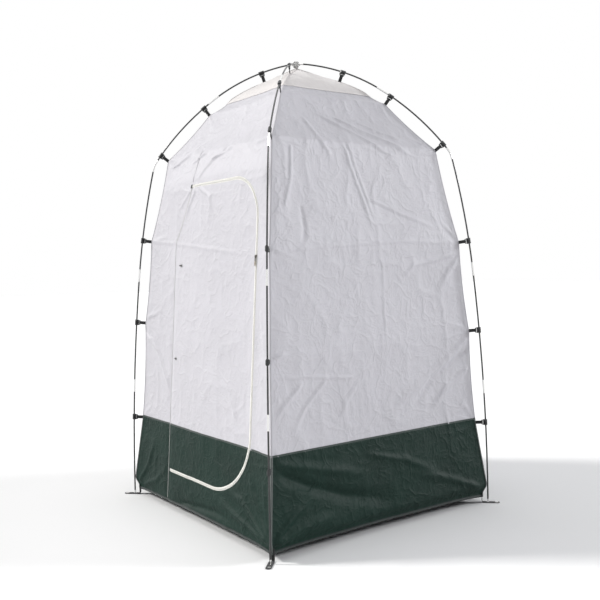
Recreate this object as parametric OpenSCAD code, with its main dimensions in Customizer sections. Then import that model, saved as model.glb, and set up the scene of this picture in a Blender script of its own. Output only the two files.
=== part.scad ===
// Privacy shower tent: two shock-corded poles cross over a square canopy that hangs from them on clips.
// The origin is on the ground under the crossing, +Z is up and the door is in the front wall, at -Y.

/* [Poles] */
// Height of the centreline of the upper pole where the poles cross
crossing_h = 2000; // [1950:5:2050]
// Outside diameter of the fibreglass pole
pole_d = 7; // [6.5:0.1:7.5]
// Wall thickness of the fibreglass pole
pole_wall = 1.4; // [1:0.1:1.6]
// Outside diameter of the steel ferrules
ferrule_d = 8.9; // [8.7:0.1:9.6]
// Length of a straight ferrule
ferrule_l = 60; // [40:1:80]
// Length of each socket of a bent elbow
elbow_socket = 12; // [8:1:20]
// Diameter of the elastic shock cord
cord_d = 2.6; // [2:0.1:3]

/* [Clips] */
// Distance from the pole's centreline to the canopy
canopy_gap = 44; // [40:1:50]
// Width of the clip's webbing
webbing_w = 15; // [12:1:18]
// Outside radius of the hook round the pole
hook_r = 7.6; // [7:0.1:8.5]

/* [Canopy] */
// Thickness that stands for the cloth
cloth_t = 2; // [1.5:0.1:2.5]
// Height of the hem above the ground
hem_z = 24; // [15:1:40]
// Width of the dark binding on the hem
hem_w = 12; // [8:1:16]
// How far the free corner edge dips in between two clips
scallop = 6; // [0:1:8]
// Thickness of the bound corner edge
binding_t = 2.4; // [1.5:0.1:4]

/* [Door] */
// Left edge of the door, which is its hinge seam
door_x0 = -280; // [-320:5:-240]
// Right edge of the door, which is the straight run of the zip
door_x1 = 393; // [360:1:400]
// Height of the bottom of the door above the hem
door_v0 = 152; // [120:1:180]
// Height of the top of the door above the hem
door_v1 = 1418; // [1380:1:1425]
// Radius of the top corner of the zip
door_top_r = 165; // [100:5:200]
// Radius of the bottom corner of the zip
door_bottom_r = 275; // [150:5:300]
// Height of the zip slider above the hem
slider_v = 1100; // [1000:10:1150]

/* [Feet] */
// Radius of the pin at the end of each pole
pin_r = 2.25; // [2:0.05:2.5]
// Inside radius of the eyelet that holds a pole's pin
pin_eyelet_r = 2.7; // [2.6:0.05:3]
// Inside radius of the eyelet that takes a ground peg
peg_eyelet_r = 4.5; // [4:0.1:5]
// Width of the foot webbing
foot_w = 22; // [20:1:26]

/* [Hidden] */
$fn = 48;

// The four legs, counted front left, front right, back right, back left. The upper pole joins 0 and 2.
FRONT_LEFT = 0;
FRONT_RIGHT = 1;
BACK_RIGHT = 2;
BACK_LEFT = 3;
LEGS = [FRONT_LEFT, FRONT_RIGHT, BACK_RIGHT, BACK_LEFT];
UPPER = [FRONT_LEFT, BACK_RIGHT];
LOWER = [FRONT_RIGHT, BACK_LEFT];
leg_turn = [225, 315, 45, 135];
// The four sides, each turned from +X.
RIGHT = 0;
BACK = 90;
LEFT = 180;
FRONT = 270;
SIDES = [RIGHT, BACK, LEFT, FRONT];

// Each half pole is a chain of tangent arcs from the crossing to the ground: arc lengths, and how far the
// pole leans from upright at the arcs' ends. The two short arcs are bent ferrules, the others are tubes.
arc_l = [18, 402, 400, 34, 507, 528, 508];
lean = [90, 83, 55.5, 36.5, 13.5, 6, 3, 0];
CROWN = 0;
ARCH_TOP = 1;
ARCH_SIDE = 2;
ELBOW = 3;
LEG_TOP = 4;
LEG_MID = 5;
LEG_LOW = 6;
last_arc = len(arc_l) - 1;
joint_gap = 0.2;
ferrule_fit = 0.3;
bore_d = pole_d + ferrule_fit;
lower_drop = ferrule_d + 0.3;

// Where the clips sit along each pole, measured from the crossing: they slide, so no two legs are alike.
clip_at = [
    [165, 480, 780, 1195, 1585, 2040],
    [190, 470, 790, 1255, 1670, 2070],
    [220, 466, 785, 1235, 1635, 2050],
    [190, 466, 785, 1230, 1630, 2045]
];
first_binding_clip = 3;
cap_edge_u = 395;
wall_top_u = 925;
skirt_top_u = 2035;
corner_foot_u = 2325;

cord_steps = [1, 6, 6, 3, 7, 7, 7];
cord_end = 45;
bead_l = 2.4;

function cord_short(i) = i == last_arc ? cord_end : 0;
// Distance along the pole at which an arc starts.
function arc_u(i) = i == 0 ? 0 : arc_u(i - 1) + arc_l[i - 1];
function arc_r(i) = arc_l[i] / (lean[i] - lean[i + 1]) * 180 / PI;
function arc_start_r(i) =
    i == 0 ? 0 : arc_start_r(i - 1) + arc_r(i - 1) * (cos(lean[i]) - cos(lean[i - 1]));
function arc_start_z(i) =
    i == 0 ? crossing_h : arc_start_z(i - 1) - arc_r(i - 1) * (sin(lean[i - 1]) - sin(lean[i]));
function centre_r(i) = arc_start_r(i) - arc_r(i) * cos(lean[i]);
function centre_z(i) = arc_start_z(i) - arc_r(i) * sin(lean[i]);
function polar(i, s) = lean[i] - s / arc_r(i) * 180 / PI;
// The arc that the distance u along the pole falls in, and how far into that arc it is.
function arc_at(u, i = 0) = i == last_arc || u <= arc_l[i] ? i : arc_at(u - arc_l[i], i + 1);
function rest_at(u, i = 0) = i == last_arc || u <= arc_l[i] ? u : rest_at(u - arc_l[i], i + 1);
function pole_point(u, inward) =
    let (i = arc_at(u), a = polar(i, rest_at(u)), r = arc_r(i) - inward)
    [centre_r(i) + r * cos(a), centre_z(i) + r * sin(a)];

foot_r = arc_start_r(last_arc) + arc_r(last_arc) * (1 - cos(lean[last_arc]));
tube_foot_z = arc_start_z(last_arc) - arc_r(last_arc) * sin(lean[last_arc]);

// Each wall is one flat plane from the hem to the shoulder, leaning in by wall_lean.
shoulder = pole_point(wall_top_u, canopy_gap + 2);
skirt_line = pole_point(skirt_top_u, canopy_gap + 11.5);
wall_slope = (skirt_line[0] - shoulder[0]) / (shoulder[1] - skirt_line[1]);
wall_lean = atan(wall_slope / sqrt(2));
hem_r = skirt_line[0] + (skirt_line[1] - hem_z) * wall_slope;
wall_top_v = (shoulder[1] - hem_z) / cos(wall_lean) - 1;
skirt_v = (skirt_line[1] - hem_z) / cos(wall_lean);
function wall_r(z) = hem_r - (z - hem_z) * wall_slope;
wide = 700;
seam = 0.2;
panel_gap = 0.4;
piping_r = 1.3;
hinge_room = 2;

// Zip
zip_gap = 0.3;
tape_w = 12;
tape_t = 0.8;
coil_w = 3.3;
zip_top_x = -138;
zip_bottom_x = -268;
slant_v = 1180;
coil_top = tape_t + 2;

// Feet
pin_at = foot_r;
peg_at = foot_r + 38;
strap_end = foot_r + 52;
strap_z = 0.6;
strap_t = 2;

module on_pole(leg, u) {
    i = arc_at(u);
    drop = leg % 2 == 1 ? lower_drop : 0;
    rotate([0, 0, leg_turn[leg]])
        translate([centre_r(i), 0, centre_z(i) - drop])
            rotate([90, 0, 0])
                rotate([0, 0, polar(i, rest_at(u))])
                    translate([arc_r(i), 0, 0])
                        rotate([-90, 0, 0])
                            children();
}

module on_wall(side) {
    rotate([0, 0, side])
        translate([hem_r / sqrt(2), 0, hem_z])
            rotate([0, -wall_lean, 0])
                children();
}

module in_leg_plane(leg, thick) {
    rotate([0, 0, leg_turn[leg]])
        rotate([90, 0, 0])
            linear_extrude(thick, center = true)
                children();
}

module quarter(side) {
    rotate([0, 0, side])
        linear_extrude(crossing_h)
            polygon([[seam, 0], [wide + seam, wide], [wide + seam, -wide]]);
}

module arc_piece(leg, i, s0, s1, od, id = 0) {
    drop = leg % 2 == 1 ? lower_drop : 0;
    rotate([0, 0, leg_turn[leg]])
        translate([centre_r(i), 0, centre_z(i) - drop])
            rotate([90, 0, 0])
                rotate([0, 0, polar(i, s1)])
                    rotate_extrude(angle = polar(i, s0) - polar(i, s1))
                        translate([arc_r(i), 0])
                            difference() {
                                circle(d = od);
                                if (id > 0) circle(d = id);
                            }
}

module tube(leg, i, s0, s1) {
    arc_piece(leg, i, s0, s1, pole_d, pole_d - 2 * pole_wall);
}

module leg_poles(leg) {
    shorter = leg % 2 == 1 ? lower_drop : 0;
    color("#1d1f20") {
        tube(leg, LEG_TOP, joint_gap, arc_l[LEG_TOP] - joint_gap);
        tube(leg, LEG_MID, joint_gap, arc_l[LEG_MID] - joint_gap);
        tube(leg, LEG_LOW, joint_gap, arc_l[LEG_LOW] - shorter);
    }
}

module arch_poles(legs) {
    color("#1d1f20")
        for (leg = legs) {
            tube(leg, ARCH_SIDE, joint_gap, arc_l[ARCH_SIDE] - joint_gap);
            tube(leg, ARCH_TOP, joint_gap, arc_l[ARCH_TOP] - joint_gap);
        }
}

// A straight-run ferrule over the joint below one arc. Its curve is the mean of the two tubes' curves.
module ferrule(leg, above) {
    r = 2 / (1 / arc_r(above) + 1 / arc_r(above + 1));
    a = lean[above + 1];
    half_turn = ferrule_l / 2 / r * 180 / PI;
    drop = leg % 2 == 1 ? lower_drop : 0;
    rotate([0, 0, leg_turn[leg]])
        translate([arc_start_r(above + 1) - r * cos(a), 0, arc_start_z(above + 1) - r * sin(a) - drop])
            rotate([90, 0, 0])
                rotate([0, 0, a - half_turn])
                    rotate_extrude(angle = 2 * half_turn)
                        translate([r, 0])
                            difference() {
                                circle(d = ferrule_d);
                                circle(d = bore_d);
                            }
}

module ferrules(legs) {
    color("silver")
        for (leg = legs, above = [ARCH_TOP, LEG_TOP, LEG_MID])
            ferrule(leg, above);
}

// Rolled bead that joins a bent ferrule's bend to its socket.
module bead(leg, u) {
    on_pole(leg, u)
        difference() {
            cylinder(d = ferrule_d + 0.9, h = bead_l, center = true);
            cylinder(d = (ferrule_d + bore_d) / 2, h = bead_l + 1, center = true);
        }
}

module elbow(leg) {
    top = arc_l[CROWN] + arc_l[ARCH_TOP] + arc_l[ARCH_SIDE];
    arc_piece(leg, ARCH_SIDE, arc_l[ARCH_SIDE] - elbow_socket, arc_l[ARCH_SIDE] - joint_gap, ferrule_d, bore_d);
    arc_piece(leg, ELBOW, joint_gap, arc_l[ELBOW] - joint_gap, ferrule_d, bore_d);
    arc_piece(leg, LEG_TOP, joint_gap, elbow_socket, ferrule_d, bore_d);
    bead(leg, top);
    bead(leg, top + arc_l[ELBOW]);
}

module elbows(legs) {
    color("silver")
        for (leg = legs)
            elbow(leg);
}

module crossing_ferrule(legs) {
    drop = legs[0] % 2 == 1 ? lower_drop : 0;
    end = polar(CROWN, arc_l[CROWN] - joint_gap);
    color("silver") {
        rotate([0, 0, leg_turn[legs[0]]])
            translate([0, 0, centre_z(CROWN) - drop])
                rotate([90, 0, 0])
                    rotate([0, 0, end])
                        rotate_extrude(angle = 180 - 2 * end)
                            translate([arc_r(CROWN), 0])
                                difference() {
                                    circle(d = ferrule_d);
                                    circle(d = bore_d);
                                }
        for (leg = legs) {
            arc_piece(leg, ARCH_TOP, joint_gap, elbow_socket + 4, ferrule_d, bore_d);
            bead(leg, arc_l[CROWN]);
        }
    }
}

// Elastic cord through the bore of one whole pole: a ring of points at each stop along it, skinned.
cord_sides = 8;
cord_stops = concat(
    [0],
    [for (i = [0 : last_arc], k = [1 : cord_steps[i]]) arc_u(i) + (arc_l[i] - cord_short(i)) * k / cord_steps[i]]
);

module shock_cord(legs) {
    drop = legs[0] % 2 == 1 ? lower_drop : 0;
    n = len(cord_stops);
    route = concat([for (k = [n - 1 : -1 : 1]) -cord_stops[k]], cord_stops);
    rings = [
        for (u = route)
            let (i = arc_at(abs(u)), a = polar(i, rest_at(abs(u))), p = pole_point(abs(u), 0), s = u < 0 ? -1 : 1)
            for (k = [0 : cord_sides - 1])
                let (t = 360 * k / cord_sides, out = cord_d / 2 * cos(t), across = cord_d / 2 * sin(t))
                [s * (p[0] + out * cos(a)), across, p[1] + out * sin(a)]
    ];
    last = (len(route) - 1) * cord_sides;
    sides = [
        for (j = [0 : len(route) - 2], k = [0 : cord_sides - 1])
            let (m = (k + 1) % cord_sides, c = j * cord_sides)
            [c + k, c + m, c + cord_sides + m, c + cord_sides + k]
    ];
    ends = [[for (k = [cord_sides - 1 : -1 : 0]) k], [for (k = [0 : cord_sides - 1]) last + k]];
    color("white")
        rotate([0, 0, leg_turn[legs[0]]])
            translate([0, 0, -drop])
                polyhedron(rings, concat(sides, ends));
}

// The steel tip plugs the pole's foot, and its pin goes down through the eyelet to the ground.
module pole_tips() {
    spigot_r = pole_d / 2 - pole_wall - 0.15;
    collar_r = pole_d / 2 - 0.2;
    color("silver")
        for (leg = LEGS) {
            seat = tube_foot_z;
            rotate([0, 0, leg_turn[leg]])
                translate([foot_r, 0, 0])
                    rotate_extrude()
                        polygon([
                            [0, 0], [pin_r - 0.8, 0], [pin_r, 1.5], [pin_r, seat - 7],
                            [collar_r, seat - 6], [collar_r, seat - 0.2], [spigot_r, seat - 0.2],
                            [spigot_r, seat + 14], [0, seat + 15]
                        ]);
        }
}

// Foot webbing: sewn to the canopy's corner, turned under the pole and out along the ground.
module foot_straps() {
    corner = wall_r(hem_z + 26) + 6;
    color("#202122")
        for (leg = LEGS)
            difference() {
                in_leg_plane(leg, foot_w)
                    polygon([
                        [corner, hem_z + 24], [corner - strap_t, hem_z + 24], [corner - 4, strap_z + 6],
                        [corner - 1, strap_z + 1.5], [corner + 5, strap_z], [strap_end, strap_z],
                        [strap_end, strap_z + strap_t], [corner + 6, strap_z + strap_t],
                        [corner + 1, strap_z + 4], [corner - 1.5, strap_z + 8]
                    ]);
                rotate([0, 0, leg_turn[leg]]) {
                    translate([pin_at, 0, -1])
                        cylinder(r = pin_eyelet_r + 1, h = 6);
                    translate([peg_at, 0, -1])
                        cylinder(r = peg_eyelet_r + 1, h = 6);
                }
            }
}

// A rolled steel eyelet that grips the webbing between two flanges.
module eyelet(bore_r, flange) {
    top = 2 * strap_z + strap_t;
    rotate_extrude()
        difference() {
            polygon([
                [bore_r, 0], [bore_r + flange, 0], [bore_r + flange, strap_z - 0.05],
                [bore_r + 0.9, strap_z - 0.05], [bore_r + 0.9, strap_z + strap_t + 0.05],
                [bore_r + flange, strap_z + strap_t + 0.05], [bore_r + flange, top], [bore_r, top]
            ]);
        }
}

module pin_eyelets() {
    color("silver")
        for (leg = LEGS)
            rotate([0, 0, leg_turn[leg]])
                translate([pin_at, 0, 0])
                    eyelet(pin_eyelet_r, 3);
}

module peg_eyelets() {
    color("silver")
        for (leg = LEGS)
            rotate([0, 0, leg_turn[leg]])
                translate([peg_at, 0, 0])
                    eyelet(peg_eyelet_r, 4);
}

// Clip hook, in the pole's own frame: X points out of the tent and Z runs up the pole.
bar_x = -15.5;
bar_r = 1.8;
window_h = webbing_w + 1.4;
frame_h = window_h + 5;

module hook_section() {
    mouth = pole_d * 0.72;
    difference() {
        union() {
            circle(r = hook_r);
            translate([-11, -2.6])
                square([8, 5.2]);
        }
        circle(d = pole_d + 0.4);
        rotate(112)
            translate([0, -mouth / 2])
                square([hook_r + 1, mouth]);
    }
}

module clip_hook() {
    intersection() {
        linear_extrude(frame_h + 4, center = true)
            hook_section();
        rotate([0, 90, 0])
            linear_extrude(40, center = true)
                polygon([
                    [-frame_h / 2 - 2, 3], [-4, 9.5], [4, 9.5], [frame_h / 2 + 2, 3],
                    [frame_h / 2 + 2, -3], [4, -9.5], [-4, -9.5], [-frame_h / 2 - 2, -3]
                ]);
    }
    difference() {
        translate([bar_x - bar_r - 0.9, -2.3, -frame_h / 2])
            cube([5.5 + bar_r + 1.5, 4.6, frame_h]);
        translate([bar_x - bar_r - 2, -4, -window_h / 2])
            cube([4.5 + bar_r + 2, 8, window_h]);
    }
    translate([bar_x, 0, 0])
        cylinder(r = bar_r, h = frame_h - 2, center = true);
}

module clip_hooks(leg) {
    color("#161718")
        for (u = clip_at[leg])
            on_pole(leg, u)
                clip_hook();
}

module clip_strap(reach) {
    tail = reach + bar_x - 0.4;
    translate([bar_x, 0, 0])
        linear_extrude(webbing_w, center = true)
            difference() {
                union() {
                    circle(r = bar_r + 1.4);
                    translate([-tail, -1.2])
                        square([tail, 2.4]);
                }
                circle(r = bar_r + 0.15);
            }
}

// On the lower pole the straps near the top are shorter, because the canopy is square to the upper one.
module clip_straps(leg) {
    drop = leg % 2 == 1 ? lower_drop : 0;
    color("#1b1c1d")
        for (u = clip_at[leg])
            on_pole(leg, u)
                clip_strap(canopy_gap - drop * sin(polar(arc_at(u), rest_at(u))));
}

// Grey tape looped from the top of the roof over both poles where they cross, with its knot.
module apex_tie() {
    half = 13;
    low = crossing_h - canopy_gap - 1;
    high = crossing_h + ferrule_d / 2 + 1;
    color("#9b9c9b") {
        rotate([90, 0, 0])
            linear_extrude(10, center = true)
                difference() {
                    translate([-half - 1.5, low])
                        square([2 * half + 3, high + 1.5 - low]);
                    translate([-half, low + 1.5])
                        square([2 * half, high - low - 1.5]);
                }
        translate([0, 0, high + 1.4])
            difference() {
                sphere(r = 5.5);
                translate([-8, -8, -16])
                    cube([16, 16, 16]);
            }
    }
}

// Webbing loop under the top of the roof, where the water bag hangs.
module bag_loop() {
    high = crossing_h - canopy_gap - 7.5;
    drop = 45;
    half = 13;
    color("#202122")
        rotate([90, 0, 0])
            linear_extrude(webbing_w, center = true)
                difference() {
                    union() {
                        translate([-half - 1.8, high - drop + half])
                            square([2 * half + 3.6, drop - half]);
                        translate([0, high - drop + half])
                            circle(r = half + 1.8);
                    }
                    union() {
                        translate([-half, high - drop + half])
                            square([2 * half, drop - half - 1.8]);
                        translate([0, high - drop + half])
                            circle(r = half);
                    }
                }
}

// A roof strip on one side: the pole's curve set in by the canopy gap, extruded and mitred at the corners.
module roof_strip(side, u0, u1, steps) {
    outer = canopy_gap + 2;
    inner = outer + cloth_t * 1.4;
    us = [for (k = [0 : steps]) u0 + (u1 - u0) * k / steps];
    outer_side = [for (u = us) [pole_point(u, outer)[0] / sqrt(2), pole_point(u, outer)[1]]];
    inner_side = [
        for (k = [steps : -1 : 0])
            [pole_point(us[k], inner)[0] / sqrt(2), pole_point(us[k], inner)[1]]
    ];
    intersection() {
        rotate([0, 0, side])
            rotate([90, 0, 0])
                linear_extrude(2 * wide, center = true)
                    polygon(concat(outer_side, inner_side));
        quarter(side);
    }
}

module roof_cap() {
    color("#c9c4c2")
        for (side = SIDES)
            roof_strip(side, 0, cap_edge_u - 0.3, 8);
}

module eaves() {
    color("#e2e1e6")
        for (side = SIDES)
            roof_strip(side, cap_edge_u, wall_top_u - 0.3, 12);
}

// A flat panel of one wall between two heights above the hem.
module wall_panel(side, v0, v1) {
    intersection() {
        on_wall(side)
            translate([-cloth_t, -wide, v0])
                cube([cloth_t, 2 * wide, v1 - v0]);
        quarter(side);
    }
}

module white_wall(side) {
    color("#e2e1e6")
        wall_panel(side, skirt_v + panel_gap, wall_top_v);
}

module green_skirt(side) {
    color("#2f4640")
        wall_panel(side, 0, skirt_v);
}

// Outline of the door in the plane of the front wall, grown or shrunk all round.
module door_outline(grow = 0) {
    left = door_x0 - grow;
    right = door_x1 + grow;
    low = door_v0 - grow;
    high = door_v1 + grow;
    top_r = door_top_r + grow;
    low_r = door_bottom_r + grow;
    difference() {
        translate([left, low])
            square([right - left, high - low]);
        difference() {
            translate([right - top_r, high - top_r])
                square(top_r + 1);
            translate([right - top_r, high - top_r])
                circle(r = top_r);
        }
        difference() {
            translate([right - low_r, low - 1])
                square([low_r + 1, low_r + 1]);
            translate([right - low_r, low + low_r])
                circle(r = low_r);
        }
        polygon([
            [left - 1, slant_v + grow / 2], [left, slant_v + grow / 2],
            [zip_top_x - grow / 2, high], [zip_top_x - grow / 2, high + 1], [left - 1, high + 1]
        ]);
    }
}

// Extrudes an outline drawn in the plane of the front wall, from depth x0 to depth x1.
module front_plate(x0, x1) {
    on_wall(FRONT)
        translate([x0, 0, 0])
            rotate([90, 0, 90])
                linear_extrude(x1 - x0)
                    children();
}

// Room round the hinge's piping, so that the door turns on it without touching the wall.
module hinge_round(r, v0, v1) {
    on_wall(FRONT)
        translate([-cloth_t / 2, door_x0, v0])
            cylinder(r = r, h = v1 - v0);
}

// Piping sewn into the hinge seam: the door turns round it.
module hinge_piping() {
    color("#8b8d8c")
        hinge_round(piping_r, hem_w + 2, slant_v);
}

// The front wall without its door, cut down to one rectangle of that wall.
module front_part(y0, y1, v0, v1) {
    difference() {
        intersection() {
            front_plate(-cloth_t, 0)
                difference() {
                    translate([y0, v0])
                        square([y1 - y0, v1 - v0]);
                    door_outline(panel_gap);
                }
            quarter(FRONT);
        }
        hinge_round(hinge_room, -1, slant_v + 3);
    }
}

jamb_v = slant_v;
sill_x = door_x1 - door_bottom_r;

module wall_front_left() {
    color("#e2e1e6")
        front_part(-wide, door_x0 - panel_gap, skirt_v + panel_gap, wall_top_v);
}

module wall_front_right() {
    color("#e2e1e6")
        front_part(0, wide, skirt_v + panel_gap, jamb_v);
}

module wall_front_top() {
    color("#e2e1e6")
        front_part(door_x0, wide, jamb_v, wall_top_v);
}

module skirt_front_left() {
    color("#2f4640")
        front_part(-wide, door_x0 - panel_gap, 0, skirt_v);
}

module skirt_front_right() {
    color("#2f4640")
        front_part(sill_x, wide, 0, skirt_v);
}

module skirt_front_sill() {
    color("#2f4640")
        front_part(door_x0, sill_x, 0, skirt_v);
}

module door_part(v0, v1) {
    difference() {
        front_plate(-cloth_t, 0)
            intersection() {
                door_outline(-panel_gap);
                translate([-wide, v0])
                    square([2 * wide, v1 - v0]);
            }
        hinge_round(hinge_room, -1, slant_v + 3);
    }
}

module door_panel() {
    color("#e2e1e6")
        door_part(skirt_v + panel_gap, door_v1);
}

module door_skirt() {
    color("#2f4640")
        door_part(0, skirt_v);
}

// The zip runs along the door's outline from the top of the slant to the foot of the hinge seam.
module zip_zone() {
    translate([zip_top_x, door_v1 / 2])
        square([wide, door_v1]);
    translate([zip_bottom_x, 0])
        square([wide, door_v1 / 2 + 1]);
}

module zip_band(grow_in, grow_out, x0, x1) {
    front_plate(x0, x1)
        intersection() {
            difference() {
                door_outline(grow_out);
                door_outline(grow_in);
            }
            zip_zone();
        }
}

module zip_tape_wall() {
    color("#eeeef0")
        zip_band(zip_gap, tape_w, 0.05, tape_t);
}

module zip_tape_door() {
    color("#eeeef0")
        zip_band(-tape_w, -zip_gap, 0.05, tape_t);
}

module zip_coil_wall() {
    color("white")
        zip_band(zip_gap, coil_w, tape_t, coil_top);
}

module zip_coil_door() {
    color("white")
        zip_band(-coil_w, -zip_gap, tape_t, coil_top);
}

// Slider: a plate over the coils, a flange down each side of them and a bridge for the pull.
plate_x = coil_top + 0.35;
plate_t = 1.4;
bridge_x = plate_x + plate_t;
eye_x = bridge_x + 1.3;

module at_slider() {
    on_wall(FRONT)
        translate([0, door_x1, slider_v])
            children();
}

module zip_slider() {
    half_w = 5.6;
    flange_w = 1.4;
    flange_x = tape_t + 0.35;
    color("#77756f")
        at_slider() {
            translate([plate_x, 0, 0])
                rotate([90, 0, 90])
                    linear_extrude(plate_t)
                        polygon([
                            [-half_w, 6.5], [half_w, 6.5], [half_w, 0], [half_w - 1.2, -6.5],
                            [1.2 - half_w, -6.5], [-half_w, 0]
                        ]);
            for (side = [-1, 1])
                translate([flange_x, side > 0 ? half_w - flange_w : -half_w, 0])
                    cube([plate_x - flange_x + 0.2, flange_w, 6.5]);
            translate([bridge_x - 0.1, 0, 0])
                rotate([90, 0, 0])
                    linear_extrude(3, center = true)
                        difference() {
                            circle(r = 4);
                            circle(r = 2.5);
                            translate([-5, -5])
                                square([5, 10]);
                        }
        }
}

// Pull: two arms straddle the bridge and join in a flat tab that hangs under it.
module zip_pull() {
    color("#77756f")
        at_slider()
            translate([eye_x, 0, 0]) {
                rotate([90, 0, 0])
                    cylinder(r = 0.7, h = 5.6, center = true);
                difference() {
                    translate([-0.6, -3.1, -20])
                        cube([1.2, 6.2, 20]);
                    translate([-1, -1.8, -5.2])
                        cube([2, 3.6, 7]);
                    translate([-1, -2, -18.4])
                        cube([2, 4, 2.6]);
                }
            }
}

// Tape folded through the slot in the pull.
module pull_tape() {
    color("#b5a68c")
        at_slider()
            translate([eye_x, 0, 0])
                rotate([90, 0, 0])
                    linear_extrude(3.6, center = true)
                        difference() {
                            translate([-1.7, -36])
                                square([3.4, 20]);
                            translate([-0.75, -20.4])
                                square([1.5, 3.4]);
                        }
}

// Tie-backs that hold the rolled door: a bar toggle on a short cord, sewn to the door by the hinge seam.
toggle_at = [[-222, 1072], [-240, 655]];
toggle_x = 6;

module at_toggle(k) {
    on_wall(FRONT)
        translate([0, toggle_at[k][0], toggle_at[k][1]])
            children();
}

module toggle_loops() {
    color("#8b8b8a")
        for (k = [0, 1])
            at_toggle(k) {
                translate([0.05, -7, -7])
                    cube([1, 14, 14]);
                rotate([0, 90, 0])
                    cylinder(r = 1, h = toggle_x + 3.6);
                translate([toggle_x + 4.6, 0, 0])
                    sphere(r = 1.9);
            }
}

module toggle(k) {
    half_l = 9;
    tip = 1.2;
    color("#3a3a3a")
        at_toggle(k)
            translate([toggle_x, 0, 0])
                difference() {
                    rotate([90, 0, 0]) {
                        cylinder(r = 2.6, h = 2 * (half_l - tip), center = true);
                        for (turn = [0, 180])
                            rotate([turn, 0, 0])
                                translate([0, 0, half_l - tip])
                                    cylinder(r1 = 2.6, r2 = 1.8, h = tip);
                    }
                    rotate([0, 90, 0])
                        cylinder(r = 1.3, h = 20, center = true);
                }
}

// Corner bindings: the free edge that the clips pull out into scallops, down to the foot of each pole.
// Between the shoulder and the first of these clips the edge runs out from the wall to the clip.
module corner_binding(leg) {
    drop = leg % 2 == 1 ? lower_drop : 0;
    hold = canopy_gap + 0.4;
    steps = 4;
    clips = [for (k = [first_binding_clip : 5]) clip_at[leg][k]];
    scallops = [
        for (k = [0, 1], j = [0 : steps - 1])
            let (t = j / steps, u = clips[k] + (clips[k + 1] - clips[k]) * t)
            pole_point(u, hold + 4 * scallop * t * (1 - t))
    ];
    shoulder_z = shoulder[1] - 60;
    foot = pole_point(corner_foot_u, pole_d / 2 + 1.5);
    edge = concat(scallops, [pole_point(clips[2], hold), foot, [foot[0], foot[1] - 14]]);
    outer = [for (p = edge) [p[0], p[1] - drop]];
    ends = [[hem_r + 6, hem_z + 28], [hem_r + 0.8, hem_z + 26], [wall_r(shoulder_z) + 0.8, shoulder_z]];
    color("#33403c")
        in_leg_plane(leg, binding_t)
            polygon(concat([[wall_r(shoulder_z) + 2.8, shoulder_z]], outer, ends));
}

module corner_bindings() {
    for (leg = LEGS)
        corner_binding(leg);
}

// Dark binding on the outside of the hem, all round.
module hem_binding() {
    color("#1a211f")
        for (side = SIDES)
            intersection() {
                on_wall(side)
                    translate([0.05, -wide, 0])
                        cube([1, 2 * wide, hem_w]);
                quarter(side);
            }
}

leg_poles(FRONT_LEFT);  // leg_poles_front_left
leg_poles(FRONT_RIGHT);  // leg_poles_front_right
leg_poles(BACK_RIGHT);  // leg_poles_back_right
leg_poles(BACK_LEFT);  // leg_poles_back_left
arch_poles(UPPER);  // arch_poles_upper
arch_poles(LOWER);  // arch_poles_lower
ferrules(UPPER);  // ferrules_upper
ferrules(LOWER);  // ferrules_lower
elbows(UPPER);  // elbows_upper
elbows(LOWER);  // elbows_lower
crossing_ferrule(UPPER);  // crossing_ferrule_upper
crossing_ferrule(LOWER);  // crossing_ferrule_lower
shock_cord(UPPER);  // shock_cord_upper
shock_cord(LOWER);  // shock_cord_lower
pole_tips();
foot_straps();
pin_eyelets();
peg_eyelets();
clip_hooks(FRONT_LEFT);  // clip_hooks_front_left
clip_hooks(FRONT_RIGHT);  // clip_hooks_front_right
clip_hooks(BACK_RIGHT);  // clip_hooks_back_right
clip_hooks(BACK_LEFT);  // clip_hooks_back_left
clip_straps(FRONT_LEFT);  // clip_straps_front_left
clip_straps(FRONT_RIGHT);  // clip_straps_front_right
clip_straps(BACK_RIGHT);  // clip_straps_back_right
clip_straps(BACK_LEFT);  // clip_straps_back_left
apex_tie();
bag_loop();
roof_cap();
eaves();
white_wall(BACK);  // wall_back
white_wall(LEFT);  // wall_left
white_wall(RIGHT);  // wall_right
wall_front_left();
wall_front_right();
wall_front_top();
green_skirt(BACK);  // skirt_back
green_skirt(LEFT);  // skirt_left
green_skirt(RIGHT);  // skirt_right
skirt_front_left();
skirt_front_right();
skirt_front_sill();
corner_bindings();
hem_binding();
door_panel();
door_skirt();
zip_tape_wall();
zip_tape_door();
zip_coil_wall();
zip_coil_door();
zip_slider();
zip_pull();
pull_tape();
hinge_piping();
toggle_loops();
toggle(0);  // toggle_upper
toggle(1);  // toggle_lower
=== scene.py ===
"""Looks of a privacy shower tent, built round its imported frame."""

import math

import bmesh
import bpy
import numpy as np
from mathutils import Matrix, Vector
from mathutils.geometry import delaunay_2d_cdt


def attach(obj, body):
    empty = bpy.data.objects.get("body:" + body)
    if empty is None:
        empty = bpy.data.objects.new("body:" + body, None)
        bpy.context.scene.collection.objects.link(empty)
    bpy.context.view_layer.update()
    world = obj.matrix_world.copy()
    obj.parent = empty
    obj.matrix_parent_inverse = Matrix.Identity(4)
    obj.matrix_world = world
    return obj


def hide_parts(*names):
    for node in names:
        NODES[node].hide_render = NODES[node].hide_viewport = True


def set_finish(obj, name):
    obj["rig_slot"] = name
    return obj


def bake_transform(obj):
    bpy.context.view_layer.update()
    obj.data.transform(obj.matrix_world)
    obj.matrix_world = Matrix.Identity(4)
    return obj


bl_info = {
    "name": "Privacy shower tent",
    "version": (1, 0, 0),
    "blender": (4, 5, 0),
    "location": "View3D > Sidebar > Tent",
    "description": "Cloth, webbing, zip and finishes of a privacy shower tent",
    "category": "Object",
}

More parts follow.
